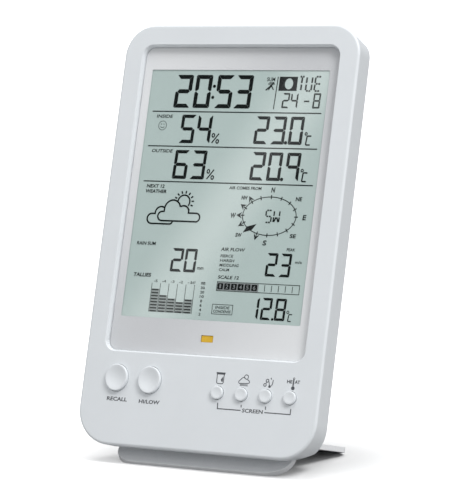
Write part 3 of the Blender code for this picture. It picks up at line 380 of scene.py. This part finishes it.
LABEL = surface("cell_sleeve", (0.050, 0.058, 0.080), 0.28, 0.12, 80.0, 2000.0, 0.000006)
RED = surface("red_insulation", (0.420, 0.020, 0.014), 0.45, 0.08, 400.0, 2500.0, 0.000006)
METAL = metal_material("bright_plating", (0.620, 0.625, 0.635), 0.28)
LENS = lens_material()
# The liquid crystal's second colour is lighter: inside the band a reflection is painted on it.
LCD = display_material(
    "liquid_crystal", (0.514, 0.620, 0.598), (0.668, 0.766, 0.741), 0.34, fine=3200.0,
)

SLOT_MATERIALS = {
    "case": CASE, "key": KEYS, "stand": STAND, "lens": LENS, "tape": TAPE, "lcd": LCD,
    "diffuser": DIFFUSER, "white_plastic": WHITE, "amber": AMBER, "circuit": CIRCUIT,
    "flex": FLEX, "contact_rubber": RUBBER, "black_plastic": BLACK, "red_wire": RED,
    "metal": METAL, "battery": LABEL,
}


# Rounded edges of the CAD nodes, in millimetres.
EDGE_WIDTH = 0.12
EDGE_WIDTHS = {"display_lens": 0.2, "light_key": 0.15, "battery_door": 0.2}
EDGE_ANGLE = 38.0  # degrees; a sharper edge than this is rounded
FLAT_ANGLE = 0.6  # degrees; facets closer than this are merged
WELD_DISTANCE = 0.000003  # metres


def finish_cad_nodes():
    """Gives each CAD node its material, a clean mesh, rounded edges and smooth shading."""
    slots = {item["node"]: item["material_slot"] for item in frame["record"]["subparts"]}
    for name, node in frame["nodes"].items():
        mesh = node.data
        for index in range(len(mesh.materials)):
            mesh.materials[index] = SLOT_MATERIALS[slots[name]]
        if "custom_normal" in mesh.attributes:
            mesh.attributes.remove(mesh.attributes["custom_normal"])
        mesh.shade_smooth()
        weld = node.modifiers.new("weld", "WELD")
        weld.merge_threshold = WELD_DISTANCE
        planar = node.modifiers.new("planar", "DECIMATE")
        planar.decimate_type = "DISSOLVE"
        planar.angle_limit = math.radians(FLAT_ANGLE)
        edges = node.modifiers.new("edges", "BEVEL")
        edges.width = EDGE_WIDTHS.get(name, EDGE_WIDTH) * MM
        edges.segments = 2
        edges.limit_method = "ANGLE"
        edges.angle_limit = math.radians(EDGE_ANGLE)
        edges.use_clamp_overlap = True
        normals = node.modifiers.new("normals", "WEIGHTED_NORMAL")
        normals.keep_sharp = False
        normals.weight = 50


# ---------------------------------------------------------------- flat printed shapes

# From here on, every length is in millimetres: x across from the middle of the case, z up its
# face from the bottom edge.

# A sharp corner of a line reaches out as if it were no sharper than this cosine.
MITRE_LIMIT = 0.35
# Points of a letter's outline closer than this, in letter heights, become one.
LETTER_MERGE = 0.00001
# How far the words on the display lean.
WORD_LEAN = 0.1


class Flat:
    """Collects flat outlines on the console's face and makes them one thin raised piece."""

    def __init__(self, name, layer, finish, slot):
        self.name = name
        self.layer = layer
        self.finish = finish
        self.slot = slot
        self.bm = bmesh.new()
        self.lettering = set()

    def outline(self, points, holes=()):
        """Adds a closed outline as a thin plate."""
        if holes:
            self._plate_with_holes([points, *holes])
            return
        front, back = self.layer
        near = [self.bm.verts.new((x, front, z)) for x, z in points]
        far = [self.bm.verts.new((x, back, z)) for x, z in points]
        self.bm.faces.new(near)
        self.bm.faces.new(list(reversed(far)))
        self._walls(near, far)

    def _walls(self, near, far):
        count = len(near)
        for i in range(count):
            j = (i + 1) % count
            self.bm.faces.new((near[i], far[i], far[j], near[j]))

    def _plate_with_holes(self, rings):
        near_rings = []
        front, back = self.layer
        for y in (front, back):
            edges = []
            for index, ring in enumerate(rings):
                corners = [self.bm.verts.new((x, y, z)) for x, z in ring]
                edges += [
                    self.bm.edges.new((a, b))
                    for a, b in zip(corners, corners[1:] + corners[:1])
                ]
                if y == front:
                    near_rings.append(corners)
                else:
                    self._walls(near_rings[index], corners)
            bmesh.ops.triangle_fill(self.bm, edges=edges, use_beauty=True)

    def rectangle(self, x0, z0, x1, z1):
        self.outline([(x0, z0), (x1, z0), (x1, z1), (x0, z1)])

    def disc(self, x, z, radius, steps):
        self.outline(arc(x, z, radius, radius, 0, 360, steps)[:-1])

    def stroke(self, points, width, closed=False):
        """A line of the given width with mitred corners."""
        points = [Vector(p) for p in points]
        count = len(points)
        sides = []
        for i in range(count):
            before = points[i - 1] if closed or i else None
            after = points[(i + 1) % count] if closed or i < count - 1 else None
            lead = (points[i] - before).normalized() if before is not None else None
            tail = (after - points[i]).normalized() if after is not None else None
            lead = tail if lead is None else lead
            tail = lead if tail is None else tail
            across = Vector((-(lead + tail).y, (lead + tail).x)).normalized()
            reach = width / 2 / max(MITRE_LIMIT, across.dot(Vector((-lead.y, lead.x))))
            sides.append((points[i] + across * reach, points[i] - across * reach))
        front, back = self.layer
        near = [[self.bm.verts.new((p.x, front, p.y)) for p in pair] for pair in sides]
        far = [[self.bm.verts.new((p.x, back, p.y)) for p in pair] for pair in sides]
        for i in range(count if closed else count - 1):
            j = (i + 1) % count
            self.bm.faces.new((near[i][0], near[j][0], near[j][1], near[i][1]))
            self.bm.faces.new((far[i][0], far[i][1], far[j][1], far[j][0]))
            self.bm.faces.new((near[i][0], far[i][0], far[j][0], near[j][0]))
            self.bm.faces.new((near[i][1], near[j][1], far[j][1], far[i][1]))
        if not closed:
            for end in (0, -1):
                a, b = near[end]
                c, d = far[end]
                self.bm.faces.new((a, b, d, c))

    def text(self, words, box, bold, lean=0.0):
        """Words that fill the box (x0, z0, x1, z1), their outlines moved out by bold."""
        x0, z0, x1, z1 = box
        curve = bpy.data.curves.new("words", "FONT")
        curve.body = words
        curve.fill_mode = "BOTH"
        curve.resolution_u = 3
        curve.offset = bold
        curve.shear = lean
        item = bpy.data.objects.new("words", curve)
        bpy.context.scene.collection.objects.link(item)
        bpy.context.view_layer.update()
        graph = bpy.context.evaluated_depsgraph_get()
        mesh = bpy.data.meshes.new_from_object(item.evaluated_get(graph))
        bpy.data.objects.remove(item, do_unlink=True)
        bpy.data.curves.remove(curve)
        xs = [v.co.x for v in mesh.vertices]
        ys = [v.co.y for v in mesh.vertices]
        wide = (x1 - x0) / (max(xs) - min(xs))
        high = (z1 - z0) / (max(ys) - min(ys))
        letters = bmesh.new()
        letters.from_mesh(mesh)
        bpy.data.meshes.remove(mesh)
        bmesh.ops.remove_doubles(letters, verts=letters.verts, dist=LETTER_MERGE)
        letters.verts.index_update()
        places = [
            (x0 + (v.co.x - min(xs)) * wide, z0 + (v.co.y - min(ys)) * high)
            for v in letters.verts
        ]
        near, far = [
            [self.bm.verts.new((x, y, z)) for x, z in places] for y in self.layer
        ]
        for face in letters.faces:
            corners = [v.index for v in face.verts]
            self.lettering.add(self.bm.faces.new([near[i] for i in corners]))
            self.lettering.add(self.bm.faces.new([far[i] for i in reversed(corners)]))
        for edge in letters.edges:
            if edge.is_boundary:
                loop = edge.link_loops[0]
                a, b = loop.vert.index, loop.link_loop_next.vert.index
                self.lettering.add(self.bm.faces.new((near[b], near[a], far[a], far[b])))
        letters.free()

    def finish_piece(self):
        # The letters are made with their faces outwards. The drawn shapes are turned here.
        drawn = [face for face in self.bm.faces if face not in self.lettering]
        bmesh.ops.recalc_face_normals(self.bm, faces=drawn)
        self.bm.transform(CONSOLE)
        mesh = bpy.data.meshes.new(self.name)
        self.bm.to_mesh(mesh)
        self.bm.free()
        mesh.materials.append(self.finish)
        item = bpy.data.objects.new(self.name, mesh)
        bpy.context.scene.collection.objects.link(item)
        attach(item, "console")


def arc(x, z, rx, rz, start, end, steps):
    """Points on an ellipse, angles in degrees from +x towards +z."""
    points = []
    for step in range(steps + 1):
        angle = math.radians(start + (end - start) * step / steps)
        points.append((x + rx * math.cos(angle), z + rz * math.sin(angle)))
    return points


def rounded(x0, z0, x1, z1, radius, steps=6):
    """The outline of a rectangle with rounded corners."""
    points = arc(x1 - radius, z1 - radius, radius, radius, 0, 90, steps)
    points += arc(x0 + radius, z1 - radius, radius, radius, 90, 180, steps)
    points += arc(x0 + radius, z0 + radius, radius, radius, 180, 270, steps)
    points += arc(x1 - radius, z0 + radius, radius, radius, 270, 360, steps)
    return points


# ---------------------------------------------------------------- segment digits and letters

DIGIT_SEGMENTS = {
    "0": "abcdef", "1": "bc", "2": "abged", "3": "abgcd", "4": "fgbc",
    "5": "afgcd", "6": "afgedc", "7": "abc", "8": "abcdefg", "9": "abcfg",
}
DIGIT_LEAN = 0.03
SEGMENT_GAP = 0.06


def segment_outlines(w, h, s):
    """The seven segments of a digit of width w, height h and stroke s, from its lower left."""
    gap = SEGMENT_GAP
    m = h / 2
    half = s / 2
    chamfer = s * 0.25
    top = [
        (gap + chamfer, h), (w - gap - chamfer, h), (w - gap - chamfer / 2, h - chamfer / 2),
        (w - s - gap, h - s), (s + gap, h - s), (gap + chamfer / 2, h - chamfer / 2),
    ]
    left = [
        (0, h - gap - chamfer), (chamfer / 2, h - gap - chamfer / 2), (s, h - s - gap),
        (s, m + half + gap), (half * 0.7, m + gap), (0, m + gap + half * 0.6),
    ]
    middle = [
        (half + gap, m), (s + gap, m + half), (w - s - gap, m + half),
        (w - half - gap, m), (w - s - gap, m - half), (s + gap, m - half),
    ]
    flip_x = [(w - x, z) for x, z in left]
    flip_z = [(x, h - z) for x, z in left]
    return {
        "a": top, "f": left, "b": flip_x, "e": flip_z, "c": [(w - x, z) for x, z in flip_z],
        "d": [(x, h - z) for x, z in top], "g": middle,
    }


def add_digit(flat, digit, x, z, w, h, s):
    outlines = segment_outlines(w, h, s)
    for key in DIGIT_SEGMENTS[digit]:
        flat.outline([(x + px + (pz - h / 2) * DIGIT_LEAN, z + pz) for px, pz in outlines[key]])


def add_number(flat, digits, places, z, w, h, s):
    """Digits of one size, each at its own place across the row."""
    for digit, x in zip(digits, places):
        add_digit(flat, digit, x, z, w, h, s)


# How far a letter's segments stop short of its corners, in strokes.
LETTER_GAP = 0.45
LETTER_SEGMENTS = {
    "T": ("top_left", "top_right", "centre_up", "centre_down"),
    "U": ("left_up", "left_down", "right_up", "right_down", "bottom_left", "bottom_right"),
    "E": ("top_left", "top_right", "left_up", "left_down", "mid_left", "mid_right",
          "bottom_left", "bottom_right"),
    "S": ("top_left", "top_right", "left_up", "mid_left", "mid_right", "right_down",
          "bottom_left", "bottom_right"),
    "W": ("left_up", "left_down", "right_up", "right_down", "diagonal_left", "diagonal_right"),
}


def letter_strokes(flat, letter, x, z, w, h, s):
    """A letter on a fourteen-segment grid, its segments apart as on a glass display."""
    cut = s * LETTER_GAP
    mid_x, mid_z = w / 2, h / 2
    lines = {
        "top_left": ((cut, h), (mid_x - cut / 2, h)),
        "top_right": ((mid_x + cut / 2, h), (w - cut, h)),
        "bottom_left": ((cut, 0), (mid_x - cut / 2, 0)),
        "bottom_right": ((mid_x + cut / 2, 0), (w - cut, 0)),
        "mid_left": ((cut, mid_z), (mid_x - cut / 2, mid_z)),
        "mid_right": ((mid_x + cut / 2, mid_z), (w - cut, mid_z)),
        "left_up": ((0, mid_z + cut), (0, h - cut)),
        "left_down": ((0, cut), (0, mid_z - cut)),
        "right_up": ((w, mid_z + cut), (w, h - cut)),
        "right_down": ((w, cut), (w, mid_z - cut)),
        "centre_up": ((mid_x, mid_z + cut), (mid_x, h - cut)),
        "centre_down": ((mid_x, cut), (mid_x, mid_z - cut)),
        "diagonal_left": ((cut, cut), (mid_x - cut / 2, mid_z - cut)),
        "diagonal_right": ((w - cut, cut), (mid_x + cut / 2, mid_z - cut)),
    }
    for key in LETTER_SEGMENTS[letter]:
        ends = [(x + px + (pz - mid_z) * DIGIT_LEAN, z + pz) for px, pz in lines[key]]
        flat.stroke(ends, s)


# ---------------------------------------------------------------- the display


def celsius(flat, x, z, w, h, s):
    """A degree ring above the left end of a plain C."""
    flat.stroke(arc(x - 0.25, z + h + 0.85, 0.52, 0.58, 0, 337.5, 15), s * 0.7, closed=True)
    flat.stroke(
        [(x + w + 0.1, z + h - 0.1), (x + 0.65, z + h - 0.1), (x + 0.35, z + h - 0.4),
         (x + 0.05, z + 0.4), (x + 0.3, z + 0.1), (x + w - 0.2, z + 0.1)], s,
    )


def percent(flat, x, z, w, h):
    """A percent sign with its two rings apart from the bar."""
    flat.stroke([(x + 0.3, z), (x + w + 0.1, z + h + 0.1)], 0.56)
    for cx, cz in ((x + 0.75, z + h - 0.75), (x + w - 0.35, z + 0.8)):
        flat.stroke(arc(cx, cz, 0.62, 0.82, 0, 340, 17), 0.5, closed=True)


def time_row():
    """The clock, the signal and moon signs, the weekday and the date."""
    flat = Flat("lcd_time", SEGMENT_LAYER, SEGMENT, "lcd")
    add_number(flat, "2053", (-31.75, -21.85, -10.9, -1.3), z=154.45, w=8.3, h=15.25, s=1.85)
    for x, z in ((-12.15, 164.5), (-12.35, 159.4)):
        flat.disc(x, z, 0.75, steps=16)
    flat.finish_piece()

    flat = Flat("lcd_date", SEGMENT_LAYER, SEGMENT_SOFT, "lcd")
    flat.text("SUM", (13.9, 167.0, 17.9, 168.8), 0.012)
    for reach in (0.6, 1.15, 1.7):
        flat.stroke(arc(16.3, 164.9, reach, reach, 20, 160, 8), 0.26)
    flat.stroke([(13.8, 162.9), (15.3, 164.2), (17.6, 166.5)], 0.6)
    flat.stroke([(15.1, 163.0), (16.4, 165.0), (17.6, 163.1)], 0.5)
    flat.outline([(18.55, 154.3), (18.95, 154.3), (19.45, 169.1), (19.05, 169.1)])
    add_number(flat, "248", (22.6, 26.75, 37.7), z=154.85, w=3.5, h=6.85, s=0.72)
    flat.rectangle(33.3, 157.7, 35.9, 158.35)  # the dash in the date
    for letter, x, w in (("T", 29.75, 2.7), ("U", 33.45, 2.7), ("E", 37.65, 2.85)):
        letter_strokes(flat, letter, x, z=162.75, w=w, h=6.45, s=0.78)
    flat.finish_piece()

    flat = Flat("lcd_moon", SEGMENT_LAYER, SEGMENT, "lcd")
    hole = arc(24.95, 165.9, 2.05, 2.5, 0, 350, 35)
    flat.outline([(20.1, 162.7), (29.0, 162.7), (29.0, 169.1), (20.1, 169.1)], [hole])
    flat.finish_piece()
    flat = Flat("lcd_moon_limb", SEGMENT_LAYER, SEGMENT_FAINT, "lcd")
    flat.stroke(arc(25.0, 165.9, 2.75, 2.75, 120, 240, 16), 0.14)
    flat.finish_piece()


def rules():
    """The lines between the rows."""
    flat = Flat("lcd_rules", SEGMENT_LAYER, SEGMENT_SOFT, "lcd")
    for z in (152.65, 136.6, 120.3):
        flat.rectangle(-42.3, z - 0.24, 42.4, z + 0.24)
    flat.finish_piece()


def indoor_row():
    """Indoor humidity, temperature and comfort face."""
    flat = Flat("lcd_indoor", SEGMENT_LAYER, SEGMENT, "lcd")
    add_number(flat, "54", (-26.7, -18.3), z=138.15, w=7.25, h=13.1, s=1.5)
    percent(flat, x=-10.35, z=138.4, w=3.4, h=4.3)
    flat.finish_piece()
    flat = Flat("lcd_indoor_temperature", SEGMENT_LAYER, SEGMENT, "lcd")
    add_number(flat, "230", (10.9, 19.3, 27.95), z=138.4, w=6.7, h=12.6, s=1.4)
    flat.disc(26.7, 139.2, 0.8, steps=14)
    celsius(flat, x=36.5, z=138.3, w=2.3, h=4.2, s=0.62)
    flat.finish_piece()
    flat = Flat("lcd_comfort_face", SEGMENT_LAYER, SEGMENT_SOFT, "lcd")
    flat.stroke(arc(-36.2, 146.1, 2.0, 2.1, 0, 350, 35), 0.2, closed=True)
    for x in (-36.85, -35.55):
        flat.disc(x, 146.7, 0.24, steps=12)
    flat.stroke(arc(-36.2, 146.0, 1.0, 0.95, 200, 340, 12), 0.24)
    flat.text("INSIDE", (-39.7, 149.65, -31.4, 151.15), 0.014, WORD_LEAN)
    flat.finish_piece()


def outdoor_row():
    """Outdoor humidity and temperature."""
    flat = Flat("lcd_outdoor", SEGMENT_LAYER, SEGMENT, "lcd")
    add_number(flat, "63", (-27.85, -18.85), z=121.7, w=7.2, h=13.2, s=1.5)
    percent(flat, x=-10.6, z=121.9, w=3.4, h=4.3)
    flat.text("OUTSIDE", (-40.0, 133.65, -29.3, 135.15), 0.014, WORD_LEAN)
    flat.finish_piece()
    flat = Flat("lcd_outdoor_temperature", SEGMENT_LAYER, SEGMENT, "lcd")
    add_number(flat, "209", (11.15, 19.45, 28.3), z=121.95, w=6.75, h=12.8, s=1.42)
    flat.disc(26.9, 122.7, 0.8, steps=14)
    celsius(flat, x=36.7, z=121.9, w=2.3, h=4.1, s=0.62)
    flat.finish_piece()


def forecast():
    """Two clouds with the sun behind them."""
    flat = Flat("lcd_forecast", SEGMENT_LAYER, SEGMENT, "lcd")
    front = (
        [(-30.3, 102.35)]
        + arc(-30.6, 104.45, 2.1, 2.1, 255, 95, 10)
        + [(-29.75, 106.6)]
        + arc(-25.6, 107.7, 4.1, 4.2, 178, 38, 16)
        + [(-21.9, 109.2)]
        + arc(-20.0, 106.7, 2.75, 2.75, 118, 8, 12)
        + [(-17.3, 106.2), (-13.3, 106.2)]
        + arc(-13.3, 104.25, 1.95, 1.95, 85, -85, 12)
        + [(-13.5, 102.35)]
    )
    flat.stroke(front, 0.72, closed=True)
    back = (
        arc(-31.3, 105.9, 2.9, 2.85, 58, 165, 10)
        + [(-34.2, 105.5)]
        + arc(-35.7, 103.2, 2.3, 2.3, 85, 270, 14)
        + [(-27.3, 100.9)]
        + arc(-26.4, 102.4, 1.5, 1.5, 275, 345, 5)
    )
    flat.stroke(back, 0.72)
    sun_x, sun_z = -20.3, 111.3
    flat.stroke(arc(sun_x, sun_z, 3.0, 3.0, -38, 188, 24), 0.68)
    for angle in (-50, -22, 4, 30, 56, 82, 108, 134, 158):
        turn = math.radians(angle)
        c, s = math.cos(turn), math.sin(turn)
        inner = (sun_x + 3.85 * c, sun_z + 3.75 * s)
        outer = (sun_x + 5.1 * c, sun_z + 5.0 * s)
        flat.stroke([inner, outer], 0.66)
    flat.text("NEXT 12", (-40.3, 117.3, -31.2, 118.9), 0.022, WORD_LEAN)
    flat.text("WEATHER", (-40.5, 114.9, -29.8, 116.5), 0.022, WORD_LEAN)
    flat.finish_piece()


def rain_block():
    """The rainfall number and its history bars."""
    flat = Flat("lcd_rain", SEGMENT_LAYER, SEGMENT, "lcd")
    flat.text("RAIN SUM", (-41.6, 91.0, -31.9, 92.6), 0.016, WORD_LEAN)
    flat.text("TALLIES", (-41.2, 76.6, -32.3, 78.3), 0.024, WORD_LEAN)
    add_number(flat, "20", (-22.95, -16.15), z=79.5, w=5.85, h=10.6, s=1.2)
    flat.finish_piece()

    flat = Flat("lcd_history_bars", SEGMENT_LAYER, SEGMENT_SOFT, "lcd")
    heights = (8, 6, 5, 4, 5)  # lit levels of each history bar
    foot, pitch, rise = 61.0, 4.32, 1.37  # foot of the bars, from bar to bar, level to level
    for column, count in enumerate(heights):
        x = -30.9 + pitch * column
        for level in range(count):
            z = foot + rise * level
            flat.rectangle(x, z, x + 3.4, z + 0.68)
    for row, words in enumerate(("mm", "30", "20", "10", "8", "6", "4", "2")):
        half = 0.5 * len(words)
        z = 74.8 - 1.97 * row
        flat.text(words, (-5.4 - half, z - 0.6, -5.4 + half, z + 0.6), 0.016)
    flat.text("mm", (-9.4, 80.9, -6.3, 82.0), 0.015)
    flat.finish_piece()

    flat = Flat("lcd_history_grid", SEGMENT_LAYER, SEGMENT_FAINT, "lcd")
    for column in range(6):
        x = -31.2 + pitch * column
        flat.rectangle(x - 0.13, 60.9, x + 0.13, 73.9)
    for column, words in enumerate(("-5", "-4", "-3", "-2", "-1", "DAY")):
        x = -29.5 + (4.3 * column if column < 5 else 19.0)
        half = 0.35 + 0.3 * len(words)
        flat.text(words, (x - half, 74.35, x + half, 75.5), 0.012)
    flat.finish_piece()

    flat = Flat("lcd_history_tint", BACKING_LAYER, SEGMENT_WASH, "lcd")
    for column, count in enumerate(heights):
        x = -31.0 + pitch * column
        flat.rectangle(x, foot, x + 4.0, foot + 0.82 + rise * (count - 1))
    flat.finish_piece()


# The steps of the compass, clockwise from north, that carry an arrowhead.
ARROW_STEPS = (9, 11, 12, 13, 14)


def compass():
    """The oval wind rose, its direction letters and the pointer."""
    cx, cz, rx, rz = 23.05, 106.1, 13.1, 8.6
    flat = Flat("lcd_compass", SEGMENT_LAYER, SEGMENT_SOFT, "lcd")
    flat.stroke(arc(cx, cz, rx, rz, 0, 355, 71), 0.36, closed=True)
    for step in range(16):
        angle = math.radians(90 - 22.5 * step)
        ring = Vector((cx + rx * math.cos(angle), cz + rz * math.sin(angle)))
        away = Vector((math.cos(angle) * rz, math.sin(angle) * rx)).normalized()
        side = Vector((-away.y, away.x))
        if step in ARROW_STEPS:
            corners = (
                ring + away * 3.1, ring + away * 0.3 + side * 1.45, ring + away * 1.3,
                ring + away * 0.3 - side * 1.45,
            )
            flat.outline([tuple(p) for p in corners])
        flat.stroke([tuple(ring - away * 0.9), tuple(ring + away * 0.9)], 0.46)
    for words, x, z, high in (
        ("N", 23.5, 117.85, 2.3), ("E", 40.2, 106.0, 2.3), ("S", 22.3, 94.1, 2.3),
        ("W", 5.3, 105.85, 2.3), ("NE", 36.5, 114.1, 1.8), ("SE", 35.7, 97.6, 1.8),
        ("SW", 9.1, 97.2, 1.8), ("NW", 9.9, 114.0, 1.8),
    ):
        half = high * (0.40 if len(words) == 1 else 0.85) * (1.35 if words == "W" else 1.0)
        flat.text(words, (x - half, z - high / 2, x + half, z + high / 2), 0.03, WORD_LEAN)
    for letter, x in (("S", 21.4), ("W", 25.3)):
        letter_strokes(flat, letter, x, z=103.3, w=2.7, h=5.4, s=0.66)
    flat.text("AIR COMES FROM", (1.6, 117.65, 17.7, 119.0), 0.018, WORD_LEAN)
    flat.finish_piece()

    flat = Flat("lcd_wind_pointer", SEGMENT_LAYER, SEGMENT, "lcd")
    flat.outline([(17.3, 102.4), (12.7, 101.1), (11.0, 98.4), (15.3, 99.7)])
    flat.finish_piece()


def wind_block():
    """The wind speed with its words, and the bar of twelve cells."""
    flat = Flat("lcd_wind", SEGMENT_LAYER, SEGMENT_SOFT, "lcd")
    flat.text("AIR FLOW", (1.3, 89.8, 13.2, 91.3), 0.014, WORD_LEAN)
    for row, (words, right) in enumerate(
        (("FIERCE", 7.8), ("HARSH", 8.6), ("MIDDLING", 11.0), ("CALM", 6.6))
    ):
        z = 86.95 - 2.06 * row
        flat.text(words, (1.5, z, right, z + 1.25), 0.010, WORD_LEAN)
    flat.text("SCALE 12", (1.5, 77.3, 11.8, 78.8), 0.016, WORD_LEAN)
    flat.text("PEAK", (33.5, 90.9, 37.6, 92.2), 0.014, WORD_LEAN)
    flat.text("m/s", (38.3, 85.5, 41.5, 86.8), 0.014)
    flat.finish_piece()

    flat = Flat("lcd_gust", SEGMENT_LAYER, SEGMENT, "lcd")
    add_number(flat, "23", (24.4, 31.1), z=79.35, w=5.3, h=10.4, s=1.15)
    flat.finish_piece()

    left, right, low, high = 1.5, 41.85, 71.95, 75.95
    cells, lit = 12, 6
    pitch = (right - left) / cells
    flat = Flat("lcd_scale_bar", SEGMENT_LAYER, SEGMENT_SOFT, "lcd")
    flat.stroke([(left, low), (right, low), (right, high), (left, high)], 0.26, closed=True)
    for cell in range(lit + 1, cells):
        x = left + pitch * cell
        flat.rectangle(x - 0.14, low + 0.6, x + 0.14, high - 0.6)
    flat.finish_piece()

    flat = Flat("lcd_scale_tint", BACKING_LAYER, SEGMENT_TINT, "lcd")
    flat.rectangle(left + 0.2, low + 0.25, left + pitch * (lit + 0.1), high - 0.25)
    flat.finish_piece()
    flat = Flat("lcd_scale_cells", SEGMENT_LAYER, SEGMENT, "lcd")
    for cell in range(lit):
        x = left + pitch * cell
        flat.outline(rounded(x + 0.3, low + 0.65, x + pitch - 0.3, high - 0.65, 0.35, 3))
    flat.finish_piece()
    flat = Flat("lcd_scale_numbers", NUMBER_LAYER, SEGMENT_TINT, "lcd")
    for cell in range(lit):
        x = left + pitch * (cell + 0.5)
        half = 0.35 if cell == 0 else 0.62
        flat.text(str(cell + 1), (x - half, low + 1.1, x + half, high - 1.1), 0.01)
    flat.finish_piece()


def dew_point_row():
    """The dew point and its framed label."""
    flat = Flat("lcd_dew_label", SEGMENT_LAYER, SEGMENT_SOFT, "lcd")
    flat.stroke([(0.5, 61.5), (10.6, 61.5), (10.6, 65.8), (0.5, 65.8)], 0.22, closed=True)
    flat.text("INSIDE", (2.0, 63.85, 9.1, 65.1), 0.006, WORD_LEAN)
    flat.text("CONDENSE", (1.2, 62.1, 9.9, 63.35), 0.006, WORD_LEAN)
    flat.finish_piece()
    flat = Flat("lcd_dew_point", SEGMENT_LAYER, SEGMENT, "lcd")
    add_number(flat, "128", (18.3, 24.6, 31.4), z=60.1, w=5.05, h=9.75, s=1.08)
    flat.disc(30.5, 60.55, 0.6, steps=12)
    flat.finish_piece()
    flat = Flat("lcd_dew_unit", SEGMENT_LAYER, SEGMENT_SOFT, "lcd")
    celsius(flat, x=37.9, z=60.0, w=1.8, h=3.2, s=0.46)
    flat.finish_piece()


def border():
    """The printed border behind the lens, open over the display and over the alert window."""
    flat = Flat("lens_border_print", BORDER_LAYER, BORDER, "lens")
    display_window = rounded(-44.8, 58.3, 44.4, 172.0, 0.5, 3)
    alert_window = rounded(-3.0, 48.65, 3.0, 51.75, 0.25, 3)
    flat.outline(rounded(-48.75, 42.85, 48.75, 182.15, 4.3), [display_window, alert_window])
    flat.finish_piece()


# ---------------------------------------------------------------- printing on the case


def case_labels():
    """The words, brackets and small pictures printed by the keys."""
    flat = Flat("key_labels", PRINT_LAYER, INK, "case")
    flat.text("RECALL", (-45.0, 19.65, -34.7, 21.4), 0.024, lean=0.05)
    flat.text("HI/LOW", (-28.6, 19.45, -18.1, 21.15), 0.026, lean=0.05)
    flat.text("SCREEN", (22.8, 18.9, 32.9, 20.6), 0.022, lean=0.05)
    brackets = (
        [(10.6, 22.3), (10.75, 19.7), (22.1, 19.7)],
        [(33.6, 19.55), (46.0, 19.55), (46.0, 22.0)],
        [(22.1, 22.15), (22.2, 21.0)],
        [(33.9, 22.2), (33.95, 20.85)],
    )
    for line in brackets:
        flat.stroke(line, 0.42)
    flat.finish_piece()

    flat = Flat("key_icons", PRINT_LAYER, INK, "case")
    add_gauge_icon(flat)
    add_cloud_icon(flat)
    add_wind_icon(flat)
    add_thermometer_icon(flat)
    flat.finish_piece()


def add_gauge_icon(flat):
    """A rain gauge with its rim and a drop of water in it."""
    flat.outline([(8.5, 34.65), (12.5, 34.65), (12.75, 35.6), (8.25, 35.6)])
    flat.stroke(
        [(8.75, 34.9)] + arc(9.65, 31.45, 0.85, 0.85, 180, 270, 4)
        + arc(11.25, 31.45, 0.85, 0.85, 270, 360, 4) + [(12.15, 34.9)], 0.36,
    )
    flat.outline([(11.75, 33.9), (11.75, 31.5), (11.1, 31.6), (10.75, 32.5)])


def add_cloud_icon(flat):
    """A cloud with the sun's disc behind it, and two lines below."""
    flat.stroke(
        arc(20.2, 32.0, 0.65, 0.65, 260, 130, 5) + [(20.3, 33.0), (21.3, 33.95), (22.0, 34.2)]
        + [(22.6, 33.6), (23.4, 33.3), (24.2, 33.0)] + arc(24.2, 32.2, 0.6, 0.6, 60, -90, 5),
        0.34, closed=True,
    )
    flat.stroke(arc(23.05, 34.35, 0.95, 0.95, -50, 215, 18), 0.34)
    for z in (30.95, 30.5):
        flat.rectangle(20.3, z - 0.12, 24.1, z + 0.12)


def add_wind_icon(flat):
    """Curls of moving air."""
    flat.stroke(arc(32.35, 31.5, 0.6, 0.6, 0, 345, 18), 0.36, closed=True)
    flat.stroke(arc(33.35, 33.4, 0.62, 0.62, 0, 345, 18), 0.36, closed=True)
    flat.stroke([(32.75, 32.2), (33.1, 32.65)], 0.36)
    flat.stroke([(34.1, 33.1), (34.35, 32.2), (34.4, 31.6)], 0.34)
    flat.disc(34.65, 30.95, 0.62, steps=14)
    flat.stroke([(35.45, 31.2), (35.95, 32.3), (36.1, 33.9)], 0.36)
    flat.stroke([(34.9, 34.75), (35.2, 34.0)], 0.42)


def add_thermometer_icon(flat):
    """A thermometer with a short word across its stem."""
    flat.stroke([(45.75, 31.9), (45.85, 34.8)], 0.62)
    flat.stroke(arc(45.9, 35.1, 0.36, 0.36, 0, 330, 11), 0.26, closed=True)
    flat.disc(45.8, 30.95, 0.85, steps=18)
    flat.text("HE", (42.7, 32.95, 45.2, 34.4), 0.03)
    flat.text("AT", (46.4, 32.95, 48.9, 34.4), 0.03)


def main():
    add_camera()
    add_stage()
    add_light()
    finish_cad_nodes()
    border()
    time_row()
    rules()
    indoor_row()
    outdoor_row()
    forecast()
    rain_block()
    compass()
    wind_block()
    dew_point_row()
    case_labels()


main()
